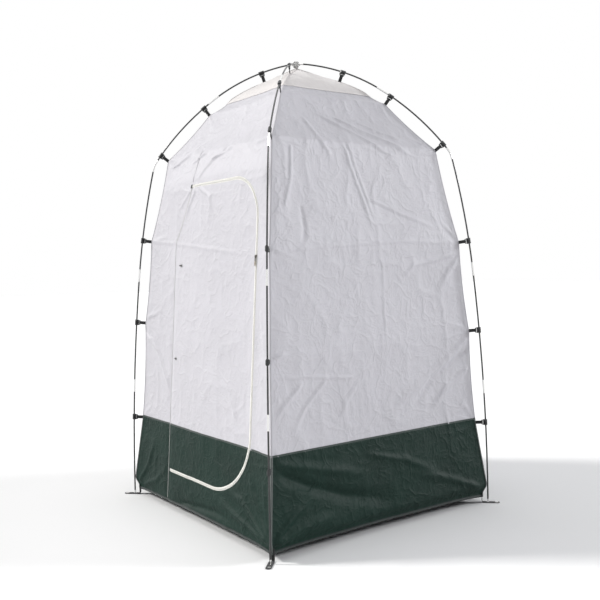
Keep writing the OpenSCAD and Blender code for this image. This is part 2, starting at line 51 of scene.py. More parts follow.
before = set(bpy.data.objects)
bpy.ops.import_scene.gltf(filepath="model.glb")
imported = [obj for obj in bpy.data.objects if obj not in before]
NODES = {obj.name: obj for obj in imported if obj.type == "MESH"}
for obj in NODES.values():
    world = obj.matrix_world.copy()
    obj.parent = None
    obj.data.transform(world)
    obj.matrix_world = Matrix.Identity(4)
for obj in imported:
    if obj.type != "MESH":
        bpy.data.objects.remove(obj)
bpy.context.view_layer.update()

# The pole as its maker bends it: tangent arcs from the crossing to the ground, in metres and degrees.
ARC_LENGTHS = np.array([0.018, 0.402, 0.400, 0.034, 0.507, 0.528, 0.508])
ARC_LEANS = np.radians([90, 83, 55.5, 36.5, 13.5, 6, 3, 0])
CROSSING_HEIGHT = 2.0
ARC_RADII = ARC_LENGTHS / (ARC_LEANS[:-1] - ARC_LEANS[1:])
ARC_STARTS = np.concatenate([[0], np.cumsum(ARC_LENGTHS)[:-1]])
LOWER_DROP = 0.0092
LEG_TURNS = np.radians([225, 315, 45, 135])
# Clip positions along each pole, the same as the frame's.
CLIPS = (
    (0.165, 0.480, 0.780, 1.195, 1.585, 2.040),
    (0.190, 0.470, 0.790, 1.255, 1.670, 2.070),
    (0.220, 0.466, 0.785, 1.235, 1.635, 2.050),
    (0.190, 0.466, 0.785, 1.230, 1.630, 2.045),
)
CANOPY_GAP = 0.044
CAP_EDGE_U = 0.395
WALL_TOP_U = 0.925
CAP_PEAK = 0.024
HEM_Z = 0.024
RIGHT, BACK, LEFT, FRONT = range(4)
# The leg at the low end and at the high end of each side.
SIDE_LEGS = ((1, 2), (2, 3), (3, 0), (0, 1))

# Door and zip in the plane of the front wall: across from its middle, and up from the hem.
DOOR_LEFT, DOOR_RIGHT = -0.280, 0.393
DOOR_LOW, DOOR_HIGH = 0.152, 1.418
DOOR_TOP_R, DOOR_LOW_R = 0.165, 0.275
ZIP_TOP_X, ZIP_LOW_X, SLANT_V = -0.138, -0.268, 1.180
TOGGLES = ((-0.222, 1.072), (-0.240, 0.655))


def arc_centres():
    """Centre of each arc of the pole, as radius from the tent's axis and height."""
    r, z, centres = 0.0, CROSSING_HEIGHT, []
    for i, radius in enumerate(ARC_RADII):
        a, b = ARC_LEANS[i], ARC_LEANS[i + 1]
        centres.append((r - radius * math.cos(a), z - radius * math.sin(a)))
        r += radius * (math.cos(b) - math.cos(a))
        z -= radius * (math.sin(a) - math.sin(b))
    return np.array(centres)


ARC_CENTRES = arc_centres()


def pole_at(u, inward=0.0):
    """Radius, height and lean of a point beside the pole, u along it from the crossing."""
    u = np.asarray(u, float)
    i = np.clip(np.searchsorted(ARC_STARTS, u, side="right") - 1, 0, len(ARC_RADII) - 1)
    a = ARC_LEANS[i] - (u - ARC_STARTS[i]) / ARC_RADII[i]
    out = ARC_RADII[i] - inward
    return ARC_CENTRES[i, 0] + out * np.cos(a), ARC_CENTRES[i, 1] + out * np.sin(a), a


SHOULDER_R, SHOULDER_Z, _ = (float(x) for x in pole_at(WALL_TOP_U, CANOPY_GAP + 0.002))
SKIRT_R, SKIRT_Z, _ = (float(x) for x in pole_at(2.035, CANOPY_GAP + 0.0115))
SLOPE = (SKIRT_R - SHOULDER_R) / (SHOULDER_Z - SKIRT_Z)
LEAN = math.atan(SLOPE / math.sqrt(2))
HEM_R = SKIRT_R + (SKIRT_Z - HEM_Z) * SLOPE
WALL_TOP_V = (SHOULDER_Z - HEM_Z) / math.cos(LEAN)
SKIRT_V = (SKIRT_Z - HEM_Z) / math.cos(LEAN)
CAP_EDGE_V = WALL_TOP_V + WALL_TOP_U - CAP_EDGE_U
APEX_V = WALL_TOP_V + WALL_TOP_U


def smooth(x, low, high):
    """0 below low, 1 above high and an even curve between them."""
    t = np.clip((np.asarray(x, float) - low) / (high - low), 0, 1)
    return t * t * (3 - 2 * t)


def leg_drop(leg):
    return LOWER_DROP if leg % 2 else 0.0


def corner_line(leg, scallop, steps=9):
    """The cloth's corner edge in the leg's plane: heights that rise, and the radius at each."""
    stops = [np.array(pole_at(0, CANOPY_GAP)[:2], float)]
    for k, u in enumerate(CLIPS[leg]):
        r, z, _ = pole_at(u, CANOPY_GAP)
        stops.append(np.array([float(r), float(z) - (leg_drop(leg) if k > 2 else 0)]))
    points = []
    for a, b in zip(stops[:-1], stops[1:]):
        chord = (b - a) / np.linalg.norm(b - a)
        inward = np.array([chord[1], -chord[0]])
        for j in range(steps):
            t = j / steps
            points.append(a + (b - a) * t + inward * scallop * 4 * t * (1 - t))
    points.append(stops[-1])
    r, z, _ = pole_at(2.325, 0.005)
    foot = np.array([float(r), float(z) - leg_drop(leg)])
    points += [foot, foot - [0, 0.014], np.array([HEM_R + 0.006, HEM_Z + 0.022])]
    points.append(np.array([HEM_R + 0.004, -0.05]))
    line = np.array(points)[::-1]
    return line[:, 1], line[:, 0]


CORNERS = [corner_line(leg, 0.006) for leg in range(4)]


def noise(x, y, seed):
    """Smooth value noise from 0 to 1 over a plane."""
    table = np.random.default_rng(seed).random((64, 64))
    i, j = np.floor(x).astype(int), np.floor(y).astype(int)
    fx, fy = x - i, y - j
    fx, fy = fx * fx * (3 - 2 * fx), fy * fy * (3 - 2 * fy)
    a, b = table[i % 64, j % 64], table[(i + 1) % 64, j % 64]
    c, d = table[i % 64, (j + 1) % 64], table[(i + 1) % 64, (j + 1) % 64]
    return (a + (b - a) * fx) * (1 - fy) + (c + (d - c) * fx) * fy


def fold(y, v, path, width, height):
    """A fold of that width and height along a path of points, fading at both ends."""
    path = np.array(path, float)
    legs = np.linalg.norm(np.diff(path, axis=0), axis=1)
    total, start = legs.sum(), 0.0
    best = np.full(np.shape(y), 1e9)
    along = np.zeros(np.shape(y))
    for a, b, length in zip(path[:-1], path[1:], legs):
        d = (b - a) / length
        t = np.clip((y - a[0]) * d[0] + (v - a[1]) * d[1], 0, length)
        away = np.hypot(y - a[0] - t * d[0], v - a[1] - t * d[1])
        near = away < best
        best = np.where(near, away, best)
        along = np.where(near, (start + t) / total, along)
        start += length
    ends = smooth(along, 0, 0.12) * (1 - smooth(along, 0.6, 1))
    return height * ends * np.exp(-((best / (width * (0.6 + 0.6 * along))) ** 2))


# Folds that show on the two sides the door corner lies between: path, half width and height in millimetres.
RIGHT_FOLDS = (
    (((-0.09, 1.60), (-0.07, 1.48), (-0.01, 1.30), (0.03, 1.16)), 7, 3.2),
    (((-0.07, 1.62), (-0.04, 1.47), (0.01, 1.31), (0.05, 1.17)), 6, 2.6),
    (((-0.01, 1.34), (0.18, 1.27), (0.41, 1.20)), 7, 3.0),
    (((-0.16, 1.78), (-0.08, 1.72), (0.10, 1.58), (0.22, 1.50)), 10, 4.0),
    (((-0.08, 1.77), (0.04, 1.69), (0.20, 1.60), (0.36, 1.50)), 12, 4.5),
    (((-0.24, 1.74), (-0.20, 1.60), (-0.14, 1.44)), 12, 3.0),
    (((0.02, 1.76), (0.16, 1.68), (0.33, 1.60)), 8, 3.0),
    (((-0.36, 1.56), (-0.38, 1.40), (-0.43, 1.24)), 8, 3.0),
    (((-0.34, 1.30), (-0.33, 1.20), (-0.35, 1.13)), 10, -3.0),
    (((-0.49, 1.115), (-0.21, 1.135), (0.17, 1.155), (0.52, 1.150)), 6, 1.8),
    (((0.54, 1.12), (0.38, 1.08), (0.22, 1.05), (0.09, 0.94)), 9, 3.4),
    (((0.54, 1.13), (0.43, 1.03), (0.33, 0.90)), 16, 5.0),
    (((0.05, 1.10), (0.045, 0.83), (0.04, 0.61)), 4, 1.6),
    (((-0.52, 0.645), (-0.35, 0.635), (-0.15, 0.61), (0.04, 0.68)), 6, 2.2),
    (((0.56, 0.76), (0.36, 0.62), (0.11, 0.49), (0.01, 0.37)), 20, 6.0),
    (((0.55, 0.69), (0.29, 0.56), (0.13, 0.40)), 14, -4.5),
    (((0.56, 0.62), (0.36, 0.50), (0.24, 0.38)), 15, 5.0),
    (((-0.38, 0.62), (-0.47, 0.54), (-0.54, 0.47)), 10, 3.2),
    (((-0.26, 0.63), (-0.38, 0.52), (-0.46, 0.40)), 9, 3.0),
    (((-0.10, 0.61), (-0.18, 0.52), (-0.24, 0.40)), 12, 2.4),
    (((-0.54, 0.30), (-0.38, 0.22), (-0.20, 0.15), (0.10, 0.08)), 26, -9.0),
    (((-0.54, 0.33), (-0.30, 0.27), (-0.05, 0.21)), 20, 6.0),
    (((-0.56, 0.03), (-0.44, 0.07), (-0.22, 0.10)), 20, 7.0),
    (((-0.55, 0.05), (-0.46, 0.13), (-0.38, 0.17)), 14, 6.0),
    (((0.55, 0.04), (0.36, 0.12), (0.10, 0.20)), 18, 4.0),
    (((-0.10, 0.30), (0.12, 0.24), (0.34, 0.14)), 14, 3.5),
)
FRONT_FOLDS = (
    (((-0.10, 1.44), (0.04, 1.55), (0.17, 1.67)), 8, 3.6),
    (((-0.06, 1.50), (0.10, 1.57), (0.24, 1.66)), 7, 3.0),
    (((-0.34, 1.60), (-0.20, 1.66), (-0.02, 1.76)), 10, 4.0),
    (((-0.40, 1.53), (-0.24, 1.60), (-0.10, 1.70)), 9, 3.4),
    (((-0.20, 1.52), (-0.06, 1.62), (0.06, 1.75)), 10, 3.2),
    (((-0.12, 1.43), (0.01, 1.37), (0.07, 1.28)), 8, 3.0),
    (((-0.10, 1.41), (-0.16, 1.34), (-0.22, 1.25)), 8, 3.0),
    (((-0.13, 1.42), (-0.20, 1.37), (-0.30, 1.30)), 7, 2.6),
    (((-0.16, 1.46), (-0.15, 1.50), (-0.13, 1.55)), 4, 2.0),
    (((-0.53, 1.195), (-0.06, 1.15), (0.43, 1.10)), 7, 2.0),
    (((-0.56, 0.79), (-0.41, 0.68), (-0.29, 0.51), (-0.24, 0.40)), 12, 4.0),
    (((-0.55, 0.82), (-0.46, 0.84), (-0.36, 0.88)), 8, 3.0),
    (((0.43, 0.90), (0.46, 0.80), (0.49, 0.68)), 9, 3.2),
    (((0.42, 0.70), (0.46, 0.62), (0.52, 0.56)), 8, 3.0),
    (((0.55, 0.03), (0.45, 0.08), (0.34, 0.15), (0.20, 0.17)), 11, 5.0),
    (((0.55, 0.05), (0.48, 0.12), (0.42, 0.20), (0.38, 0.30)), 10, 5.0),
    (((0.55, 0.07), (0.52, 0.16), (0.49, 0.28)), 9, 4.0),
    (((0.52, 0.03), (0.34, 0.07), (0.10, 0.13)), 12, 4.5),
    (((-0.54, 0.03), (-0.46, 0.14), (-0.40, 0.30)), 12, 4.0),
    (((-0.52, 0.02), (-0.38, 0.08), (-0.30, 0.16)), 12, 3.5),
    (((-0.18, 0.02), (0.14, 0.05), (0.34, 0.04)), 16, -5.0),
    (((0.20, 0.60), (0.28, 0.46), (0.36, 0.36)), 10, 2.4),
)


def scattered_folds(seed, count):
    """Folds for the sides at the back, where nothing in particular holds the cloth."""
    rng = np.random.default_rng(seed)
    made = []
    for _ in range(count):
        end = rng.choice([-1, 1])
        v = rng.uniform(0.05, 1.7)
        y = end * rng.uniform(0.42, 0.52) * (1 if v < 1.4 else 0.7)
        turn = rng.uniform(-0.9, 0.9)
        long = rng.uniform(0.15, 0.45)
        mid = (y - end * long * 0.5 * math.cos(turn), v + long * 0.5 * math.sin(turn))
        last = (y - end * long * math.cos(turn * 1.3), v + long * math.sin(turn * 1.3))
        height = rng.uniform(2, 5) * rng.choice([1, 1, -1])
        made.append((((y, v), mid, last), rng.uniform(6, 16), height))
    return made


FOLDS = {
    RIGHT: RIGHT_FOLDS,
    FRONT: FRONT_FOLDS,
    BACK: scattered_folds(11, 26),
    LEFT: scattered_folds(23, 26),
}


def nominal(v):
    """Half width and height of a side at v, which runs up the wall from the hem and on over the roof."""
    v = np.asarray(v, float)
    flat_z = HEM_Z + v * math.cos(LEAN)
    flat_w = (HEM_R - (flat_z - HEM_Z) * SLOPE) / math.sqrt(2)
    r, z, _ = pole_at(np.clip(APEX_V - v, 0, WALL_TOP_U), CANOPY_GAP + 0.002)
    roof = v > WALL_TOP_V
    return np.where(roof, r / math.sqrt(2), flat_w), np.where(roof, z, flat_z)


def clip_fans(side, y, v):
    """Short folds that spread from each clip, where the cloth is pulled to the pole."""
    rng = np.random.default_rng(40 + side)
    total = np.zeros(np.shape(y))
    for end, leg in zip((-1, 1), SIDE_LEGS[side]):
        for u in CLIPS[leg][1:]:
            _, z, _ = pole_at(u, CANOPY_GAP)
            v0 = float(np.interp(z, V_LEVELS_Z, V_LEVELS))
            w0 = float(nominal(v0)[0])
            for turn in rng.uniform(-1.0, 1.0, 5):
                long = rng.uniform(0.07, 0.2)
                path = (
                    (end * w0, v0),
                    (end * (w0 - long * math.cos(turn)), v0 + long * math.sin(turn)),
                )
                total += fold(y, v, path, rng.uniform(0.004, 0.008), rng.uniform(0.001, 0.0028))
    return total


FOLD_LIFT = 1.7
V_LEVELS = np.linspace(0, APEX_V, 400)
V_LEVELS_Z = nominal(V_LEVELS)[1]


def relief(side, y, v, half):
    """How far the cloth stands out of its even shape: folds, slack and small creases."""
    total = np.zeros(np.shape(y))
    for path, width, height in FOLDS[side]:
        total += fold(y, v, path, width / 1000, height * FOLD_LIFT / 1000)
    total += clip_fans(side, y, v)
    warp_y = y + 0.03 * noise(y * 9, v * 9, 5 + side)
    warp_v = v + 0.03 * noise(y * 9 + 7, v * 9, 6 + side)
    for scale, high, seed in ((6, 0.0026, 1), (13, 0.0013, 2), (27, 0.0005, 3)):
        n = noise(warp_y * scale * 1.5 + 40, warp_v * scale + 20, 10 * side + seed)
        total += high * (1 - np.abs(2 * n - 1)) ** 4
    broad = noise(y * 3.1 + 11, v * 2.3 + 5, 70 + side) - 0.5
    total += 0.010 * broad
    corner = smooth(half - np.abs(y), 0, 0.035)
    if side == FRONT:
        straight = smooth(v, 0.36, 0.43) * (1 - smooth(v, 1.27, 1.34))
        on_zip = 1 - (1 - smooth(np.abs(y - DOOR_RIGHT), 0.010, 0.040)) * straight
        on_hinge = 1 - np.exp(-(((y - DOOR_LEFT) / 0.02) ** 2)) * (1 - smooth(v, 1.3, 1.45))
        corner = corner * on_zip * on_hinge
    return total * corner * smooth(APEX_V - v, 0, 0.12)


def side_axes(side):
    turn = (0, math.pi / 2, math.pi, 1.5 * math.pi)[side]
    return np.array([math.cos(turn), math.sin(turn), 0]), np.array([-math.sin(turn), math.cos(turn), 0])


def even_cloth(side, y, v):
    """Points of a side's cloth without its folds."""
    half, z = nominal(v)
    low, high = SIDE_LEGS[side]
    ends = [np.interp(z, *CORNERS[leg]) / math.sqrt(2) for leg in (low, high)]
    flat_top = smooth(v, CAP_EDGE_V - 0.06, CAP_EDGE_V + 0.06)
    ends = [e * (1 - flat_top) + half * flat_top for e in ends]
    end = np.where(y < 0, ends[0], ends[1])
    share = np.clip((y / np.maximum(half, 1e-6) + 1) / 2, 0, 1)
    ruled = ends[0] + (ends[1] - ends[0]) * share
    slack = (0.005 + 0.007 * smooth(v, 1.45, 1.7) * (1 - smooth(v, 1.95, 2.1))) * smooth(half, 0.02, 0.30)
    centre = ruled - slack
    reach = 0.85 * half
    if side == FRONT:
        up = smooth(z, 1.445, 1.60)
        centre = half * (1 - up) + centre * up
        near = np.where(y > 0, half - DOOR_RIGHT - 0.012, half + DOOR_LEFT - 0.02)
        reach = near * (1 - up) + reach * up
    g = np.clip(1 - (half - np.abs(y)) / np.maximum(reach, 1e-4), 0, 1) ** 1.6
    depth = centre + (end - centre) * g
    across = y + np.sign(y) * (end - half) * g
    lift = 0.009 * (1 - (np.abs(y) / half) ** 8) * (1 - smooth(v, 0.0, 0.12))
    peak = CAP_PEAK * np.clip(1 - half / 0.10, 0, 1) ** 1.5
    out, along = side_axes(side)
    return (
        out * depth[..., None]
        + along * across[..., None]
        + np.array([0, 0, 1.0]) * (z + lift + peak)[..., None]
    )


def cloth(side, y, v, stand=0.0):
    """Points on a side's cloth, stand metres out of its surface."""
    y, v = np.asarray(y, float), np.asarray(v, float)
    step = 0.002
    here = even_cloth(side, y, v)
    half, _ = nominal(v)
    inward = np.where(y > 0, -step, step)
    level = np.where(v > APEX_V - 2 * step, -step, step)
    e1 = (even_cloth(side, y + inward, v) - here) / inward[..., None]
    e2 = (even_cloth(side, y, v + level) - here) / level[..., None]
    n = np.cross(e1, e2)
    n /= np.maximum(np.linalg.norm(n, axis=-1, keepdims=True), 1e-9)
    return here + n * (relief(side, y, v, half) + stand)[..., None]


# Meshes


def new_piece(name, points, faces, material, slot, smooth_faces=True):
    mesh = bpy.data.meshes.new(name)
    mesh.from_pydata([tuple(p) for p in points], [], [tuple(int(i) for i in f) for f in faces])
    mesh.update()
    if smooth_faces:
        mesh.polygons.foreach_set("use_smooth", [True] * len(mesh.polygons))
    mesh.materials.append(material)
    piece = bpy.data.objects.new(name, mesh)
    bpy.context.scene.collection.objects.link(piece)
    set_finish(piece, slot)
    return piece


class Parts:
    """Points and faces of one mesh, gathered from several patches."""

    def __init__(self):
        self.points, self.faces, self.uvs = [], [], []

    def add(self, points, faces, uvs=None):
        base = sum(len(p) for p in self.points)
        points = np.asarray(points, float).reshape(-1, 3)
        self.points.append(points)
        self.faces += [tuple(int(i) + base for i in f) for f in faces]
        uv = np.zeros((len(points), 2)) if uvs is None else np.asarray(uvs, float).reshape(-1, 2)
        self.uvs.append(uv)

    def grid(self, points, uvs=None, closed=False):
        """Adds a patch whose points are in rows; closed joins each row's end to its start."""
        rows, cols = points.shape[:2]
        last = cols if closed else cols - 1
        faces = [
            (r * cols + c, r * cols + (c + 1) % cols, (r + 1) * cols + (c + 1) % cols, (r + 1) * cols + c)
            for r in range(rows - 1)
            for c in range(last)
        ]
        self.add(points.reshape(-1, 3), faces, uvs)

    def make(self, name, material, slot, weld=0.0, smooth_faces=True):
        points = np.concatenate(self.points)
        piece = new_piece(name, points, self.faces, material, slot, smooth_faces)
        uvs = np.concatenate(self.uvs)
        layer = piece.data.uv_layers.new(name="Along")
        index = np.zeros(len(piece.data.loops), np.int32)
        piece.data.loops.foreach_get("vertex_index", index)
        layer.data.foreach_set("uv", uvs[index].astype(np.float32).ravel())
        if weld:
            weld_points(piece, weld)
        return piece


def weld_points(piece, distance):
    bm = bmesh.new()
    bm.from_mesh(piece.data)
    bmesh.ops.remove_doubles(bm, verts=bm.verts, dist=distance)
    bmesh.ops.dissolve_degenerate(bm, edges=bm.edges, dist=1e-6)
    bmesh.ops.recalc_face_normals(bm, faces=bm.faces)
    bm.to_mesh(piece.data)
    bm.free()


def door_edge(step=0.008):
    """The door's outline from the top of the hinge seam, over the top, down the zip and back."""
    points = [(DOOR_LEFT, SLANT_V)]
    slant = (ZIP_TOP_X, DOOR_HIGH)
    count = int(math.dist(points[0], slant) / step)
    points = [
        (
            DOOR_LEFT + (slant[0] - DOOR_LEFT) * k / count,
            SLANT_V + (slant[1] - SLANT_V) * k / count,
        )
        for k in range(count)
    ]
    points += zip_line(step, to_x=DOOR_LEFT)
    return points


def zip_line(step, to_x=ZIP_LOW_X):
    """The zip's line: along the top, round the corner, down the side and along the bottom."""
    path = []
    right = DOOR_RIGHT - DOOR_TOP_R
    count = int((right - ZIP_TOP_X) / step)
    path += [(ZIP_TOP_X + (right - ZIP_TOP_X) * k / count, DOOR_HIGH) for k in range(count)]
    count = int(DOOR_TOP_R * math.pi / 2 / step)
    for k in range(count):
        a = math.pi / 2 * (1 - k / count)
        path.append((right + DOOR_TOP_R * math.cos(a), DOOR_HIGH - DOOR_TOP_R + DOOR_TOP_R * math.sin(a)))
    top, low = DOOR_HIGH - DOOR_TOP_R, DOOR_LOW + DOOR_LOW_R
    count = int((top - low) / step)
    path += [(DOOR_RIGHT, top + (low - top) * k / count) for k in range(count)]
    count = int(DOOR_LOW_R * math.pi / 2 / step)
    for k in range(count):
        a = -math.pi / 2 * k / count
        path.append((DOOR_RIGHT - DOOR_LOW_R + DOOR_LOW_R * math.cos(a), low + DOOR_LOW_R * math.sin(a)))
    start = DOOR_RIGHT - DOOR_LOW_R
    count = int((start - to_x) / step)
    path += [(start + (to_x - start) * k / count, DOOR_LOW) for k in range(count + 1)]
    return path


def inside(points, outline):
    """Which points lie inside a closed outline."""
    x, y = points[:, 0], points[:, 1]
    outline = np.array(outline)
    hit = np.zeros(len(points), bool)
    for (x0, y0), (x1, y1) in zip(outline, np.roll(outline, -1, axis=0)):
        if y0 == y1:
            continue
        crosses = (y0 > y) != (y1 > y)
        hit ^= crosses & (x < (x1 - x0) * (y - y0) / (y1 - y0) + x0)
    return hit


def columns(count):
    return np.linspace(-1, 1, count + 1)


def side_grid(parts, side, v_values, count):
    """Adds one side's cloth between two heights as an even grid."""
    s = columns(count)
    v = np.repeat(np.asarray(v_values)[:, None], len(s), axis=1)
    y = s[None, :] * nominal(v)[0]
    parts.grid(cloth(side, y, v), np.stack([y, v], -1).reshape(-1, 2))


def front_patches(v_values, count):
    """The front side cut along the door's edge and the skirt seam, in four lists of triangles."""
    s = columns(count)
    flat, edges = [], []
    edge = door_edge()
    edge_points = np.array(edge)
    for v in v_values:
        half = float(nominal(v)[0])
        flat += [(float(x) * half, float(v)) for x in s]
    flat = np.array(flat)
    on_rim = (
        (np.abs(flat[:, 1] - v_values[0]) < 1e-9)
        | (np.abs(flat[:, 1] - v_values[-1]) < 1e-9)
        | (np.tile(np.abs(s), len(v_values)) > 0.999)
    )
    clear = np.ones(len(flat), bool)
    for p in edge_points:
        clear &= np.hypot(flat[:, 0] - p[0], flat[:, 1] - p[1]) > 0.0052
    clear &= (np.abs(flat[:, 1] - SKIRT_V) > 0.004) | on_rim
    flat = flat[clear | on_rim]
    first = len(flat)
    flat = np.concatenate([flat, edge_points])
    edges += [(first + k, first + (k + 1) % len(edge)) for k in range(len(edge))]
    half = float(nominal(SKIRT_V)[0])
    seam_x = np.unique(
        np.concatenate(
            [s * half, [-half, half]],
        )
    )
    first = len(flat)
    flat = np.concatenate([flat, np.stack([seam_x, np.full(len(seam_x), SKIRT_V)], -1)])
    edges += [(first + k, first + k + 1) for k in range(len(seam_x) - 1)]
    points, _, triangles, *_ = delaunay_2d_cdt([Vector(p) for p in flat], edges, [], 0, 1e-5)
    points = np.array([tuple(p) for p in points])
    triangles = np.array([t for t in triangles if len(t) == 3])
    middle = points[triangles].mean(1)
    a, b, c = (points[triangles[:, i]] for i in range(3))
    size = (b[:, 0] - a[:, 0]) * (c[:, 1] - a[:, 1]) - (b[:, 1] - a[:, 1]) * (c[:, 0] - a[:, 0])
    in_door = inside(middle, edge)
    keep = np.abs(size) > 1e-9
    white = middle[:, 1] > SKIRT_V
    return points, {
        "wall_white": triangles[keep & ~in_door & white],
        "wall_green": triangles[keep & ~in_door & ~white],
        "door_white": triangles[keep & in_door & white],
        "door_green": triangles[keep & in_door & ~white],
    }


def used_only(points, triangles):
    used, again = np.unique(triangles, return_inverse=True)
    return points[used], again.reshape(-1, 3)


# Finishes

_finishes = {}


def group(name, inputs, outputs):
    tree = bpy.data.node_groups.new(name, "ShaderNodeTree")
    for label, default in inputs:
        socket = tree.interface.new_socket(name=label, in_out="INPUT", socket_type="NodeSocketFloat")
        socket.default_value = default
    for label in outputs:
        tree.interface.new_socket(name=label, in_out="OUTPUT", socket_type="NodeSocketFloat")
    return tree, tree.nodes.new("NodeGroupInput"), tree.nodes.new("NodeGroupOutput")


def math_node(tree, kind, a, b=None):
    node = tree.nodes.new("ShaderNodeMath")
    node.operation = kind
    for socket, value in zip(node.inputs, (a, b)):
        if value is None:
            continue
        if isinstance(value, (int, float)):
            socket.default_value = value
        else:
            tree.links.new(value, socket)
    return node.outputs[0]


def noise_node(tree, vector, scale, detail=3.0, rough=0.55):
    node = tree.nodes.new("ShaderNodeTexNoise")
    node.inputs["Detail"].default_value = detail
    node.inputs["Roughness"].default_value = rough
    tree.links.new(vector, node.inputs["Vector"])
    if isinstance(scale, (int, float)):
        node.inputs["Scale"].default_value = scale
    else:
        tree.links.new(scale, node.inputs["Scale"])
    return node.outputs["Fac"]


def weave_group():
    """Plain weave: threads up the cloth and threads across it."""
    tree, given, out = group("Plain weave", [("Threads per metre", 900)], ["Height"])
    where = tree.nodes.new("ShaderNodeTexCoord").outputs["Object"]
    split = tree.nodes.new("ShaderNodeSeparateXYZ")
    tree.links.new(where, split.inputs[0])
    across = math_node(tree, "ADD", split.outputs["X"], split.outputs["Y"])
    pitch = math_node(tree, "MULTIPLY", given.outputs[0], 2 * math.pi)
    up = math_node(tree, "SINE", math_node(tree, "MULTIPLY", split.outputs["Z"], pitch))
    side = math_node(tree, "SINE", math_node(tree, "MULTIPLY", across, pitch))
    tree.links.new(math_node(tree, "MULTIPLY", up, side), out.inputs[0])
    return tree


def crumple_group():
    """Small sharp creases left by folding and packing."""
    tree, given, out = group("Crumple", [("Scale", 9), ("Fine", 0.35)], ["Height", "Patches"])
    where = tree.nodes.new("ShaderNodeTexCoord").outputs["Object"]
    bend = tree.nodes.new("ShaderNodeTexNoise")
    bend.inputs["Scale"].default_value = 5
    tree.links.new(where, bend.inputs["Vector"])
    mix = tree.nodes.new("ShaderNodeVectorMath")
    mix.operation = "MULTIPLY_ADD"
    tree.links.new(bend.outputs["Color"], mix.inputs[0])
    mix.inputs[1].default_value = (0.12, 0.12, 0.12)
    tree.links.new(where, mix.inputs[2])
    height = None
    for factor, weight in ((1.0, 1.0), (2.3, 0.5), (5.1, 0.22)):
        scale = math_node(tree, "MULTIPLY", given.outputs["Scale"], factor)
        n = noise_node(tree, mix.outputs[0], scale, 2.0)
        ridge = math_node(tree, "ABSOLUTE", math_node(tree, "SUBTRACT", n, 0.5))
        ridge = math_node(tree, "POWER", math_node(tree, "SUBTRACT", 1.0, ridge), 26)
        ridge = math_node(tree, "MULTIPLY", ridge, weight)
        height = ridge if height is None else math_node(tree, "ADD", height, ridge)
    fine = math_node(tree, "MULTIPLY", noise_node(tree, where, 60, 4.0), given.outputs["Fine"])
    tree.links.new(math_node(tree, "ADD", height, fine), out.inputs["Height"])
    tree.links.new(noise_node(tree, where, 4.5, 4.0), out.inputs["Patches"])
    return tree


def grain_group():
    """Fine grain with longer scratches, for moulded plastic, paint and drawn metal."""
    tree, given, out = group("Grain", [("Scale", 900), ("Stretch", 1)], ["Height", "Marks"])
    where = tree.nodes.new("ShaderNodeTexCoord").outputs["Object"]
    size = tree.nodes.new("ShaderNodeCombineXYZ")
    size.inputs[0].default_value = 1
    size.inputs[1].default_value = 1
    tree.links.new(given.outputs["Stretch"], size.inputs[2])
    scaled = tree.nodes.new("ShaderNodeVectorMath")
    scaled.operation = "MULTIPLY"
    tree.links.new(where, scaled.inputs[0])
    tree.links.new(size.outputs[0], scaled.inputs[1])
    tree.links.new(noise_node(tree, scaled.outputs[0], given.outputs["Scale"], 3.0), out.inputs["Height"])
    marks = noise_node(tree, scaled.outputs[0], 45, 5.0, 0.7)
    tree.links.new(marks, out.inputs["Marks"])
    return tree


def webbing_group():
    """Ribbed webbing with a row of stitches near each edge. It reads how far along and across the tape."""
    tree, given, out = group(
        "Webbing", [("Ribs per metre", 700), ("Half width", 0.0075), ("Stitch", 0.004)], ["Height", "Thread"]
    )
    uv = tree.nodes.new("ShaderNodeUVMap")
    uv.uv_map = "Along"
    split = tree.nodes.new("ShaderNodeSeparateXYZ")
    tree.links.new(uv.outputs[0], split.inputs[0])
    along, across = split.outputs["X"], split.outputs["Y"]
    pitch = math_node(tree, "MULTIPLY", given.outputs["Ribs per metre"], 2 * math.pi)
    rib = math_node(tree, "SINE", math_node(tree, "MULTIPLY", along, pitch))
    cross = math_node(tree, "SINE", math_node(tree, "MULTIPLY", across, 6000))
    rib = math_node(tree, "MULTIPLY", math_node(tree, "MULTIPLY", rib, cross), 0.5)
    away = math_node(tree, "ABSOLUTE", across)
    line = math_node(tree, "SUBTRACT", given.outputs["Half width"], 0.0022)
    near = math_node(tree, "COMPARE", away, line)
    near.node.inputs[2].default_value = 0.0005
    dash = math_node(tree, "FRACT", math_node(tree, "DIVIDE", along, given.outputs["Stitch"]))
    dash = math_node(tree, "LESS_THAN", dash, 0.68)
    thread = math_node(tree, "MULTIPLY", near, dash)
    height = math_node(tree, "ADD", rib, math_node(tree, "MULTIPLY", thread, 1.2))
    tree.links.new(height, out.inputs["Height"])
    tree.links.new(thread, out.inputs["Thread"])
    return tree


GROUPS = {}


def shared(name):
    """A shared effect, built the first time it is used."""
    makers = {
        "weave": weave_group,
        "crumple": crumple_group,
        "grain": grain_group,
        "webbing": webbing_group,
    }
    if name not in GROUPS:
        GROUPS[name] = makers[name]()
    return GROUPS[name]


def place(tree, name, **values):
    node = tree.nodes.new("ShaderNodeGroup")
    node.node_tree = shared(name)
    for label, value in values.items():
        node.inputs[label.replace("_", " ")].default_value = value
    return node


def start_finish(name, roughness, metallic=0.0, **settings):
    material = bpy.data.materials.new(name)
    material.use_nodes = True
    shader = material.node_tree.nodes["Principled BSDF"]
    shader.inputs["Roughness"].default_value = roughness
    shader.inputs["Metallic"].default_value = metallic
    for label, value in settings.items():
        shader.inputs[label.replace("_", " ")].default_value = value
    return material, material.node_tree, shader


